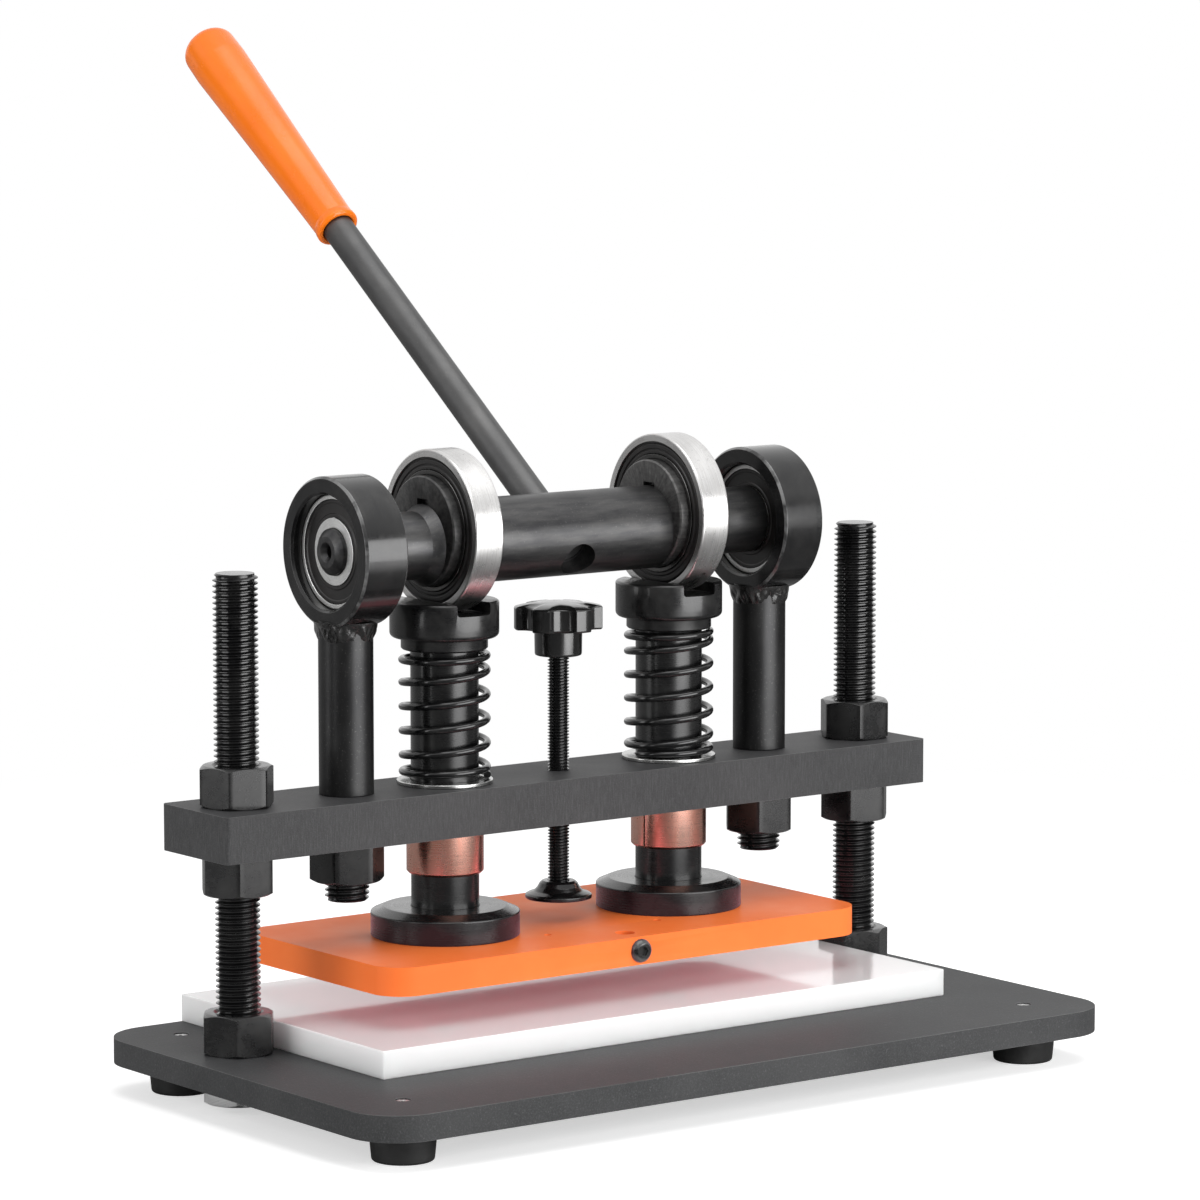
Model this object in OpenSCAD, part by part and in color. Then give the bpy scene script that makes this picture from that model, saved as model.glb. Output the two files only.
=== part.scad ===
// Lever-operated double-roller embossing press for belts and leather straps.
//
// A lever turns a shaft in two end bearings. Two eccentrics on the shaft carry
// ball-bearing rollers, which push two sprung plungers and the platen down.
// Units are millimetres. +X runs along the long edge of the base, +Y to the
// back and +Z up; z = 0 is the plane under the four feet.

/* [View] */
// Which sub-part is drawn
// Facets on the smallest circles
fine = 48; // [24:8:96]

/* [Frame] */
// Where the plane of the rods and the shaft lies in Y
rod_plane_y = -86; // [-120:1:0]

/* [Base] */
// Length of the base along X
base_len = 492; // [400:1:600]
// Distance from the rod plane to the front edge of the base
base_front = 186; // [120:1:240]
// Distance from the rod plane to the back edge of the base
base_back = 89; // [60:1:140]
// Thickness of the base
base_t = 14; // [8:0.5:20]
// Radius of the base's corners
base_r = 29; // [5:1:40]
// Distance of a foot from the end of the base
foot_inset = 37; // [20:1:90]
// Distance of the front feet from the rod plane
foot_front = 150; // [100:1:170]
// Distance of the back feet from the rod plane
foot_back = 59; // [40:1:80]
// Height of a rubber foot
foot_h = 17; // [8:0.5:25]
// Radius of a rubber foot
foot_r = 17.4; // [10:0.1:25]

/* [Rods and nuts] */
// Distance of a threaded rod from the end of the base
rod_inset = 35.5; // [16:0.5:90]
// Outer diameter of the thread
rod_d = 24; // [16:1:30]
// Height of the rods' top ends above the base's top
rod_top = 255.5; // [200:0.5:300]
// Width of the nuts across flats
nut_af = 36; // [24:1:46]
// Height of the nuts that hold the base and the beam
nut_h = 22; // [12:0.5:30]
// Height of the nuts under the base
under_nut_h = 12.5; // [8:0.5:16]

/* [Cutting board] */
// Gap between the board's ends and the base nuts
board_gap = 0.1; // [0.05:0.05:40]
// Distance from the rod plane to the board's front edge
board_front = 105; // [80:1:180]
// Thickness of the board
board_t = 15; // [8:0.5:20]

/* [Beam] */
// How far the crossbeam reaches past a rod
beam_over = 27; // [20:0.5:40]
// Depth of the crossbeam along Y
beam_w = 62.6; // [45:0.1:80]
// Thickness of the crossbeam
beam_t = 25; // [15:0.5:35]
// Height of the beam's underside above the base's top
beam_z = 107; // [100:1:190]

/* [Posts and end bearings] */
// Distance from the middle to a post
post_x = 140.7; // [120:0.1:160]
// Diameter of a post
post_d = 29.5; // [20:0.5:40]
// Outer diameter of a bearing housing
housing_d = 81; // [70:0.5:95]
// Width of a bearing housing
housing_w = 27.2; // [20:0.1:40]
// Wall of a bearing housing round its bearing
housing_wall = 9.5; // [5:0.1:14]
// Radial thickness of an end bearing, from its bore to its outside
end_section = 18.5; // [12:0.5:22]
// Width of the end bearing
end_w = 16; // [12:1:20]
// How far a post's stud reaches below the beam
stud_below = 32.5; // [24:0.5:40]
// Leg of the weld between a post and its housing
weld_w = 3.4; // [2:0.1:5]
// Height of that weld
weld_h = 16; // [10:0.5:20]

/* [Shaft and eccentrics] */
// Height of the shaft's axis above the base's top
shaft_z = 262.4; // [240:0.1:300]
// Diameter of the shaft's middle
shaft_d = 46; // [36:0.5:52]
// Diameter of the shaft inside the eccentrics
seat_d = 44; // [34:0.5:46]
// Diameter of the shaft between an eccentric and its end bearing
neck_d = 37; // [32:0.5:44]
// Distance from the middle to a roller
lift_x = 76.4; // [60:0.1:95]
// Throw of the eccentrics
throw = 7.2; // [4:0.1:8]
// Direction of the throw at rest, from +Y towards +Z
throw_a = 82; // [60:1:90]
// Diameter of an eccentric disc
disc_d = 60; // [55:1:70]
// Width of an eccentric disc
disc_w = 28.2; // [20:0.1:34]
// Width of the shaft keys
key_w = 10; // [4:0.5:14]

/* [Rollers] */
// Height of a roller bearing's section, from its bore to its outside
roller_section = 14; // [10:0.5:18]
// Width of a roller
roller_w = 18; // [14:0.5:22]

/* [Lever] */
// Diameter of the lever bar
bar_d = 18; // [12:0.5:20]
// Angle of the lever at rest, from +Y towards +Z
lever_a = 36.6; // [20:0.1:80]
// Distance from the shaft's axis to the grip's mouth
grip_start = 264.5; // [200:0.5:320]
// Length of the grip
grip_len = 174; // [120:1:220]
// Diameter of the grip at its mouth
grip_d0 = 24.4; // [20:0.1:30]
// Diameter of the grip at its end
grip_d1 = 33.2; // [24:0.1:40]

/* [Plungers] */
// Diameter of a plunger
plunger_d = 37; // [25:0.5:45]
// Outer diameter of a guide bush
bush_d = 42; // [30:0.5:55]
// How far a bush reaches below the beam
bush_below = 24; // [0:1:30]
// Diameter of a plunger's cap
cap_d = 59.4; // [45:0.1:70]
// Height of a plunger's cap
cap_h = 20.2; // [12:0.1:28]
// Diameter of the spring seat under the cap
seat_ring_d = 47.2; // [40:0.1:56]
// Height of the spring seat under the cap
seat_ring_h = 6.4; // [3:0.1:12]
// Height of the cap's rim above the base's top
cap_top = 231.9; // [220:0.1:240]
// Width of the roller's slot in the cap
slot_w = 21.6; // [19:0.1:26]
// Diameter of a plunger's foot flange
flange_d = 81.2; // [60:0.1:90]
// Height of a plunger's foot flange
flange_h = 16; // [8:0.5:22]

/* [Springs] */
// Outer diameter of a spring
spring_d = 50; // [44:0.5:54]
// Diameter of the spring wire
wire_d = 4; // [2:0.1:5]
// Thickness of the washer under a spring
washer_t = 2.3; // [1:0.1:4]
// Diameter of the washer under a spring
washer_d = 52.4; // [44:0.1:60]

/* [Platen] */
// Length of the platen along X
platen_len = 321; // [240:1:340]
// Distance from the rod plane to the platen's front edge
platen_front = 71; // [50:1:100]
// Distance from the rod plane to the platen's back edge
platen_back = 77; // [50:1:100]
// Thickness of the platen
platen_t = 15.5; // [8:0.5:22]
// Height of the platen's underside above the base's top, at rest
platen_z = 33.5; // [30:0.5:60]
// Radius of the platen's corners
platen_r = 18; // [4:1:30]
// Position of the die bore and its clamp screw along X
die_x = 3; // [-40:0.5:40]
// Distance of the die bore in front of the rod plane
die_y = 56.7; // [45:0.1:62]
// Diameter of the die bore
die_d = 11; // [6:0.5:16]
// Diameter of the screws that hold the plungers from below
hold_d = 12; // [8:1:16]
// Diameter of those screws' countersunk heads
hold_head_d = 22.2; // [16:0.1:28]
// Length of those screws above the platen's underside
hold_len = 43; // [30:0.5:50]

/* [Adjuster] */
// Diameter of the adjuster's thread
adj_d = 12; // [8:1:16]
// Diameter of the star knob
knob_d = 48.6; // [35:0.1:60]
// Height of the star knob's head
knob_h = 13.4; // [8:0.1:20]
// Diameter of the star knob's hub
hub_d = 26; // [18:0.5:34]
// Height of the star knob's hub below its head
hub_h = 16; // [10:0.5:24]
// Radius of the hollows between the knob's lobes
hollow_r = 8; // [5:0.1:12]
// Height of the knob's top above the base's top
knob_top = 225; // [200:0.5:230]
// Diameter of the swivel foot
swivel_d = 36.8; // [25:0.1:45]
// Height of the swivel foot's underside above the base's top
swivel_z = 60.8; // [50:0.1:80]

/* [Fits] */
// Radial clearance of a running fit
run_gap = 0.05; // [0.01:0.01:0.1]
// Radial clearance of a bolt in its hole
bolt_gap = 0.5; // [0.2:0.1:1]

/* [Hidden] */
base_z = foot_h + base_t;              // top of the base
foot_x = base_len / 2 - foot_inset;    // places of the feet and the rods along X
rod_x = base_len / 2 - rod_inset;
beam_len = 2 * (rod_x + beam_over);
nut_corner = nut_af / 2 / cos(30) - 0.35;         // outside of a nut's corners
board_len = 2 * (rod_x - nut_corner - board_gap);
beam_lo = base_z + beam_z;
beam_hi = beam_lo + beam_t;
axis_z = base_z + shaft_z;
ecc_y = throw * cos(throw_a);
ecc_z = axis_z + throw * sin(throw_a);
rod_r = rod_d / 2;
rod_lo = foot_h - under_nut_h - 0.5;
stud_lo = beam_lo - stud_below;        // lower ends of the post studs
end_od = housing_d - 2 * housing_wall; // outer diameter of the end bearings
end_id = end_od - 2 * end_section;     // their bore, which is the journals' diameter
bear_x = post_x - housing_w / 2 + 5;   // inner face of an end bearing
plat_lo = base_z + platen_z;
plat_hi = plat_lo + platen_t;
flange_hi = plat_hi + flange_h;
cap_hi = base_z + cap_top;
cap_lo = cap_hi - cap_h;
seat_lo = cap_lo - seat_ring_h;
spring_lo = beam_hi + washer_t;
roller_d = disc_d + 2 * roller_section;
slot_z = ecc_z - roller_d / 2 - 0.1;   // the roller stands 0.1 above the slot's floor
plunger_r = plunger_d / 2;
hold_sink = (hold_head_d - hold_d) * 0.54;  // depth of the countersinks
bush_lo = beam_lo - bush_below;
inner_r = disc_d / 2 + 3;              // outside of the rollers' inner rings
race_r = roller_d / 2 - 3;             // inside of the rollers' outer rings
end_in_r = end_id / 2 + 5.8;
end_out_r = end_od / 2 - 3.1;
shaft_end = bear_x + end_w + 5;         // end of the shaft along X
bar_in = 12;                           // how far the bar reaches past the shaft's axis

black = [0.06, 0.06, 0.065];
graphite = [0.17, 0.17, 0.175];
bright = [0.72, 0.72, 0.72];
rubber = [0.05, 0.05, 0.05];
orange = [0.95, 0.33, 0.09];
copper = [0.72, 0.42, 0.30];
white = [0.95, 0.95, 0.95];

// ---- shared shapes ----

// Everything is drawn about the rod plane and then moved into the part's frame
module place() translate([0, rod_plane_y, 0]) children();

// A rounded plate between two corners, from z0 upwards
module slab(x0, y0, x1, y1, z0, t, r, cut = 0.8) {
    translate([0, 0, z0]) linear_extrude(t) difference() {
        translate([x0, y0]) square([x1 - x0, y1 - y0]);
        for (c = [[x0, y0, 1, 1], [x1, y0, -1, 1], [x0, y1, 1, -1], [x1, y1, -1, -1]])
            translate([c[0], c[1]]) scale([c[2], c[3]]) difference() {
                translate([-1, -1]) square([r + 1, r + 1]);
                translate([r, r]) circle(r, $fn = 64);
            }
    }
}

// A ring about Z from z0 upwards with chamfered edges
module ring(r1, r0, z0, h, c = 0, fn = 96) {
    translate([0, 0, z0]) rotate_extrude($fn = fn) polygon(
        [[r0 + c, 0], [r1 - c, 0], [r1, c], [r1, h - c], [r1 - c, h], [r0 + c, h],
         [r0, h - c], [r0, c]]);
}

// The same ring about X, starting at x0
module xring(r1, r0, x0, w, c = 0, fn = 96) translate([x0, 0, 0])
    rotate([0, 90, 0]) ring(r1, r0, 0, w, c, fn);

// A bar about Z with chamfered ends
module bar(r, z0, z1, c = 1, fn = 64) {
    translate([0, 0, z0]) rotate_extrude($fn = fn) polygon(
        [[0, 0], [r - c, 0], [r, c], [r, z1 - z0 - c], [r - c, z1 - z0], [0, z1 - z0]]);
}

// A hexagon nut about Z, turned by a, with a plain bore
module nut(z0, h, a, bore) {
    corner = nut_af / 2 / cos(30);
    translate([0, 0, z0]) rotate(a) difference() {
        intersection() {
            cylinder(r = corner, h = h, $fn = 6);
            rotate_extrude($fn = 96) polygon([[0, 0], [nut_corner - 1.65, 0],
                [nut_corner, 1], [nut_corner, h - 1], [nut_corner - 1.65, h], [0, h]]);
        }
        translate([0, 0, -1]) cylinder(r = bore, h = h + 2, $fn = 64);
        for (z = [-0.01, h + 0.01 - 1.3]) translate([0, 0, z])
            cylinder(r1 = z < 0 ? bore + 1.3 : bore, r2 = z < 0 ? bore : bore + 1.3,
                h = 1.3, $fn = 64);
    }
}

// Balls of a bearing about X
module balls(n, pitch_r, r, x) for (i = [0 : n - 1])
    translate([x, pitch_r * cos(360 * i / n + 9), pitch_r * sin(360 * i / n + 9)])
        sphere(r, $fn = 24);

// ---- stand ----

module base_plate() color(graphite) difference() {
    slab(-base_len / 2, -base_front, base_len / 2, base_back, foot_h, base_t, base_r);
    for (s = [-1, 1]) translate([s * rod_x, 0, 0])
        cylinder(r = rod_r + run_gap, h = 60, $fn = 64);
    for (s = [-1, 1], y = [-foot_front, foot_back]) translate([s * foot_x, y, 0]) {
        cylinder(r = 2.6, h = 60, $fn = 32);
        translate([0, 0, base_z - 3]) cylinder(r = 4.2, h = 10, $fn = 32);
    }
}

module rubber_feet() color(rubber)
    for (s = [-1, 1], y = [-foot_front, foot_back]) translate([s * foot_x, y, 0])
        difference() {
            rotate_extrude($fn = 64) polygon([[0, 0], [foot_r - 1.6, 0],
                [foot_r - 0.5, 1.2], [foot_r, foot_h - 1.4], [foot_r - 0.8, foot_h],
                [0, foot_h]]);
            translate([0, 0, 4]) cylinder(r = 2.5, h = foot_h, $fn = 32);
        }

module foot_screws() color(bright)
    for (s = [-1, 1], y = [-foot_front, foot_back]) translate([s * foot_x, y, 0]) {
        translate([0, 0, 5]) cylinder(r = 2.5, h = base_z - 3 - 5, $fn = 32);
        translate([0, 0, base_z - 3]) difference() {
            cylinder(r = 4.0, h = 2.4, $fn = 32);
            translate([0, 0, 1]) cylinder(r = 1.5, h = 3, $fn = 6);
        }
    }

module rod(s) color(black) translate([s * rod_x, 0, 0])
    bar(rod_r, rod_lo, base_z + rod_top, 1.6);
module rod_left() rod(-1);
module rod_right() rod(1);

module base_nut_left() color(black) translate([-rod_x, 0, 0])
    nut(base_z, nut_h, 234, rod_r);
module base_nut_right() color(black) translate([rod_x, 0, 0])
    nut(base_z, nut_h, 215, rod_r);
module under_nuts() color(bright) for (s = [-1, 1]) translate([s * rod_x, 0, 0])
    nut(foot_h - under_nut_h, under_nut_h, 234, rod_r);

module cutting_board() color(white)
    slab(-board_len / 2, -board_front, board_len / 2, base_back, base_z, board_t, 1);

// ---- beam and what is fixed to it ----

module crossbeam() color(graphite) difference() {
    slab(-beam_len / 2, -beam_w / 2, beam_len / 2, beam_w / 2, beam_lo, beam_t, 3);
    for (s = [-1, 1]) {
        translate([s * rod_x, 0, 0]) cylinder(r = rod_r + bolt_gap, h = 300, $fn = 64);
        translate([s * post_x, 0, 0]) cylinder(r = rod_r, h = 300, $fn = 64);
        translate([s * lift_x, 0, 0]) cylinder(r = bush_d / 2, h = 300, $fn = 96);
    }
    cylinder(r = adj_d / 2 + run_gap, h = 300, $fn = 64);
}

module beam_nut(s, z, a) color(black) translate([s * rod_x, 0, 0])
    nut(z, nut_h, a, rod_r + run_gap);
module beam_nut_upper_left() beam_nut(-1, beam_hi, 225);
module beam_nut_upper_right() beam_nut(1, beam_hi, 240);
module beam_nut_lower_left() beam_nut(-1, beam_lo - nut_h, 241);
module beam_nut_lower_right() beam_nut(1, beam_lo - nut_h, 225.6);

module post(s) color(graphite) translate([s * post_x, 0, 0]) {
    difference() {
        translate([0, 0, beam_hi]) cylinder(r = post_d / 2, h = axis_z - beam_hi, $fn = 96);
        translate([-50, 0, axis_z]) rotate([0, 90, 0])
            cylinder(r = housing_d / 2, h = 100, $fn = 128);
    }
    bar(rod_r, stud_lo, beam_hi + 0.5, 1.4);
}
module post_left() post(-1);
module post_right() post(1);

module post_nut(s, a) color(black) translate([s * post_x, 0, 0])
    nut(beam_lo - nut_h, nut_h, a, rod_r);
module post_nut_left() post_nut(-1, 278);
module post_nut_right() post_nut(1, 233);

// The weld between a post and its housing
module weld_beads() color(graphite) for (s = [-1, 1])
    translate([s * post_x, 0, 0]) difference() {
        translate([0, 0, axis_z - housing_d / 2 - weld_h / 2]) rotate_extrude($fn = 64)
            polygon([[post_d / 2, 0], [post_d / 2 + weld_w * 0.35, weld_h * 0.075],
                [post_d / 2 + weld_w * 0.76, weld_h * 0.47],
                [post_d / 2 + weld_w, weld_h * 0.69], [post_d / 2, weld_h]]);
        translate([-50, 0, axis_z]) rotate([0, 90, 0])
            cylinder(r = housing_d / 2, h = 100, $fn = 128);
    }

module housing(s) color(black) translate([s * post_x, 0, axis_z]) rotate([0, 90, 0])
    difference() {
        ring(housing_d / 2, end_od / 2, -housing_w / 2, housing_w, 1.3, 128);
    }
module housing_left() housing(-1);
module housing_right() housing(1);

// End bearings: outer rings, seals, balls and inner rings
module at_end(s) translate([s * (bear_x + end_w / 2), 0, axis_z]) children();
module end_ring_left() color(bright) at_end(-1)
    xring(end_od / 2, end_out_r, -end_w / 2, end_w, 0.6);
module end_ring_right() color(bright) at_end(1)
    xring(end_od / 2, end_out_r, -end_w / 2, end_w, 0.6);
module end_seals() color(rubber) for (s = [-1, 1], t = [-1, 1]) at_end(s)
    xring(end_out_r, end_in_r + 0.3, t * (end_w / 2 - 1.2) - 0.6, 1.2);
module end_balls() color(bright) for (s = [-1, 1]) at_end(s)
    balls(10, (end_out_r + end_in_r) / 2, (end_out_r - end_in_r) / 2 - run_gap, 0);
module end_inner_left() color(bright) at_end(-1)
    xring(end_in_r, end_id / 2, -end_w / 2, end_w, 0.5);
module end_inner_right() color(bright) at_end(1)
    xring(end_in_r, end_id / 2, -end_w / 2, end_w, 0.5);

// Split guide bush with a chamfered lower lip
module bush(s, a) color(copper) translate([s * lift_x, 0, 0]) difference() {
    translate([0, 0, bush_lo]) rotate_extrude($fn = 96) polygon([
        [plunger_r + run_gap, 0], [bush_d / 2 - 1.4, 0], [bush_d / 2, 1.4],
        [bush_d / 2, beam_hi - bush_lo], [plunger_r + run_gap, beam_hi - bush_lo]]);
    rotate(a) translate([0, -0.5, bush_lo - 1])
        cube([bush_d, 1, beam_hi - bush_lo + 2]);
}
module bush_left() bush(-1, 60);
module bush_right() bush(1, 192);

module spring_washers() color(bright) for (s = [-1, 1]) translate([s * lift_x, 0, 0])
    ring(washer_d / 2, plunger_r + bolt_gap, beam_hi, washer_t, 0.3);

// ---- shaft, eccentrics and lever ----

module main_shaft() color(graphite) translate([0, 0, axis_z]) difference() {
    rotate([0, 90, 0]) rotate_extrude($fn = 128) polygon(let (
        a = lift_x - disc_w / 2, b = lift_x + disc_w / 2, e = bear_x,
        f = shaft_end, R = shaft_d / 2, S = seat_d / 2, N = neck_d / 2,
        J = end_id / 2) [[0, -f], [J - 4, -f], [J, -f + 3], [J, -e], [N, -e],
        [N, -b - 6.2], [S, -b], [S, -a], [R, -a], [R, a], [S, a], [S, b], [N, b + 6.2],
        [N, e], [J, e], [J, f - 3], [J - 4, f], [0, f]]);
    // the lever's bore and the wider exit at the front
    rotate([lever_a - 90, 0, 0]) {
        translate([0, 0, -bar_in]) cylinder(r = bar_d / 2, h = 60, $fn = 64);
        translate([0, 0, -40]) cylinder(r = 10.6, h = 40 - bar_in, $fn = 64);
    }
    // centre holes in both ends
    for (s = [-1, 1]) translate([s * shaft_end, 0, 0])
        rotate([0, -s * 90, 0]) {
            translate([0, 0, -1]) cylinder(r = 3.2, h = 13, $fn = 32);
            translate([0, 0, -0.01]) cylinder(r1 = 5.4, r2 = 3.2, h = 3, $fn = 32);
        }
    // key seats
    for (s = [-1, 1]) translate([s * lift_x, 0, 0])
        translate([-disc_w / 2 + 3, -key_w / 2, seat_d / 2 - 3])
            cube([disc_w - 6, key_w, 10]);
}

module eccentric(s) color(graphite) translate([s * lift_x, 0, 0]) difference() {
    translate([0, ecc_y, ecc_z]) xring(disc_d / 2, 5, -disc_w / 2, disc_w, 0.8, 128);
    translate([-50, 0, axis_z]) rotate([0, 90, 0])
        cylinder(r = seat_d / 2, h = 100, $fn = 128);
    translate([-50, -key_w / 2, axis_z]) cube([100, key_w, seat_d / 2 + 2.8]);
}
module eccentric_left() eccentric(-1);
module eccentric_right() eccentric(1);

module shaft_keys() color(black) for (s = [-1, 1])
    translate([s * lift_x - disc_w / 2 + 3, -key_w / 2, axis_z + seat_d / 2 - 3])
        cube([disc_w - 6, key_w, 5.8]);

module at_roller(s) translate([s * lift_x, ecc_y, ecc_z]) children();
module roller_inner_left() color(bright) at_roller(-1)
    xring(inner_r, disc_d / 2, -roller_w / 2, roller_w, 0.6, 128);
module roller_inner_right() color(bright) at_roller(1)
    xring(inner_r, disc_d / 2, -roller_w / 2, roller_w, 0.6, 128);
module roller_tyre_left() color(bright) at_roller(-1)
    xring(roller_d / 2, race_r, -roller_w / 2, roller_w, 0.8, 128);
module roller_tyre_right() color(bright) at_roller(1)
    xring(roller_d / 2, race_r, -roller_w / 2, roller_w, 0.8, 128);
module roller_seals(s) color(rubber) at_roller(s) for (t = [-1, 1])
    xring(race_r, inner_r + 0.3, t * (roller_w / 2 - 1.2) - 0.6, 1.2, 0, 128);
module roller_seals_left() roller_seals(-1);
module roller_seals_right() roller_seals(1);
module roller_balls(s) color(bright) at_roller(s)
    balls(14, (race_r + inner_r) / 2, (race_r - inner_r) / 2 - run_gap, 0);
module roller_balls_left() roller_balls(-1);
module roller_balls_right() roller_balls(1);

module along_lever() translate([0, 0, axis_z]) rotate([lever_a - 90, 0, 0]) children();

module handle_bar() color(graphite) along_lever()
    bar(bar_d / 2, -bar_in, grip_start + grip_len - 14, 0.6);

module handle_grip() color(orange) along_lever() difference() {
    translate([0, 0, grip_start]) rotate_extrude($fn = 96) polygon(concat(
        [[0, 0], [grip_d0 / 2 - 0.8, 0], [grip_d0 / 2 + 0.5, 1.2], [grip_d0 / 2 + 0.4, 3],
         [grip_d0 / 2, 5]],
        [for (t = [0 : 7.5 : 90]) [grip_d1 / 2 - 9 + 9 * cos(t),
            grip_len - 9 + 9 * sin(t)]],
        [[0, grip_len]]));
    cylinder(r = bar_d / 2, h = grip_start + grip_len - 14, $fn = 64);
}

// ---- platen and plungers ----

module platen() color(orange) difference() {
    slab(-platen_len / 2, -platen_front, platen_len / 2, platen_back, plat_lo,
        platen_t, platen_r);
    translate([die_x, -die_y, 0]) cylinder(r = die_d / 2, h = 200, $fn = 64);
    translate([die_x, -die_y, plat_lo + platen_t / 2]) rotate([90, 0, 0])
        cylinder(r = 4, h = 60, $fn = 48);
    for (s = [-1, 1]) {
        translate([die_x + s * 37.3, -36.8, plat_hi - 9]) cylinder(r = 2.2, h = 20, $fn = 32);
        translate([s * lift_x, 0, plat_lo - 1]) cylinder(r = hold_d / 2, h = 90, $fn = 48);
        translate([s * lift_x, 0, plat_lo - 0.01])
            cylinder(r1 = hold_head_d / 2 + 0.4, r2 = hold_d / 2, h = hold_sink, $fn = 48);
    }
}

// Countersunk screws that hold the plungers from below
module platen_screws() color(black) for (s = [-1, 1])
    translate([s * lift_x, 0, plat_lo]) difference() {
        union() {
            translate([0, 0, 0.3]) cylinder(r1 = hold_head_d / 2, r2 = hold_d / 2,
                h = hold_sink - 0.4, $fn = 48);
            translate([0, 0, hold_sink - 0.5])
                cylinder(r = hold_d / 2, h = hold_len - hold_sink + 0.5, $fn = 48);
        }
        translate([0, 0, -1]) cylinder(r = hold_d * 0.35, h = hold_sink - 0.5, $fn = 6);
    }

module plunger(s) color(black) translate([s * lift_x, 0, 0]) difference() {
    translate([0, 0, plat_hi]) cylinder(r = plunger_r, h = seat_lo - plat_hi, $fn = 96);
    translate([0, 0, plat_hi - 1])
        cylinder(r = hold_d / 2, h = plat_lo + hold_len + 3 - plat_hi, $fn = 48);
}
module plunger_left() plunger(-1);
module plunger_right() plunger(1);

// Cap with the spring seat below and the roller's slot across its top
module plunger_cap(s) color(black) translate([s * lift_x, 0, 0]) difference() {
    translate([0, 0, seat_lo]) rotate_extrude($fn = 96) polygon(concat(
        [[0, 0], [seat_ring_d / 2 - 0.8, 0], [seat_ring_d / 2, 0.8],
         [seat_ring_d / 2, seat_ring_h]],
        [for (t = [-90 : 15 : 0]) [cap_d / 2 - 3 + 3 * cos(t),
            seat_ring_h + 3 + 3 * sin(t)]],
        [for (t = [0 : 15 : 90]) [cap_d / 2 - 1.6 + 1.6 * cos(t),
            seat_ring_h + cap_h - 1.6 + 1.6 * sin(t)]],
        [[0, seat_ring_h + cap_h]]));
    translate([0, 60, 0]) rotate([90, 0, 0]) linear_extrude(120) union() {
        translate([-slot_w / 2, slot_z + 1.6]) square([slot_w, 30]);
        translate([-slot_w / 2 + 1.6, slot_z]) square([slot_w - 3.2, 30]);
        for (t = [-1, 1]) translate([t * (slot_w / 2 - 1.6), slot_z + 1.6])
            circle(1.6, $fn = 24);
    }
}
module plunger_cap_left() plunger_cap(-1);
module plunger_cap_right() plunger_cap(1);

module flange(s) color(black) translate([s * lift_x, 0, plat_hi])
    rotate_extrude($fn = 128) polygon([[plunger_r, 0], [flange_d / 2 - 0.6, 0],
        [flange_d / 2, 0.6], [flange_d / 2, flange_h - 3.2],
        [flange_d / 2 - 0.7, flange_h - 2.5], [flange_d / 2 - 7, flange_h],
        [plunger_r, flange_h]]);
module flange_left() flange(-1);
module flange_right() flange(1);

// Button-head screw in the platen's front edge; its tip stops short of the die bore
module die_clamp_screw() color(black)
    translate([die_x, -platen_front, plat_lo + platen_t / 2]) rotate([90, 0, 0])
        difference() {
            union() {
                translate([0, 0, -(platen_front - die_y) + die_d / 2 + 1])
                    cylinder(r = 4, h = platen_front - die_y - die_d / 2, $fn = 48);
                rotate_extrude($fn = 64) polygon([[0, 0], [6.5, 0], [6.5, 0.6],
                    [6.1, 1.7], [5.3, 2.7], [4.3, 3.4], [0, 3.4]]);
            }
            translate([0, 0, 1.2]) cylinder(r = 2.9, h = 5, $fn = 6);
        }

// ---- springs ----

// Height of the wire's middle after n turns: closed ends, open middle
function spring_h(n) = let (p0 = wire_d * 1.1, last = 6.4, open = 4.4,
    total = seat_lo - spring_lo - wire_d, p = (total - 2 * p0) / open)
    wire_d / 2 + (n < 1 ? p0 * n : n < 1 + open ? p0 + p * (n - 1)
        : p0 + p * open + p0 * (n - 1 - open));

module spring(s, a0) color(black) translate([s * lift_x, 0, spring_lo]) {
    steps = 20; sides = 8; n = 128; R = spring_d / 2 - wire_d / 2;
    pts = [for (i = [0 : n]) for (k = [0 : sides - 1])
        let (t = i / steps, a = a0 + 360 * t, b = 360 * k / sides,
            r = R + wire_d / 2 * cos(b))
        [r * cos(a), r * sin(a), spring_h(t) + wire_d / 2 * sin(b)]];
    polyhedron(pts, concat([[for (k = [0 : sides - 1]) k]],
        [for (i = [0 : n - 1]) for (k = [0 : sides - 1]) let (j = (k + 1) % sides)
            [i * sides + k, (i + 1) * sides + k, (i + 1) * sides + j, i * sides + j]],
        [[for (k = [sides - 1 : -1 : 0]) n * sides + k]]));
}
module spring_left() spring(-1, -37);
module spring_right() spring(1, 186);

// ---- adjuster ----

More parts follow.
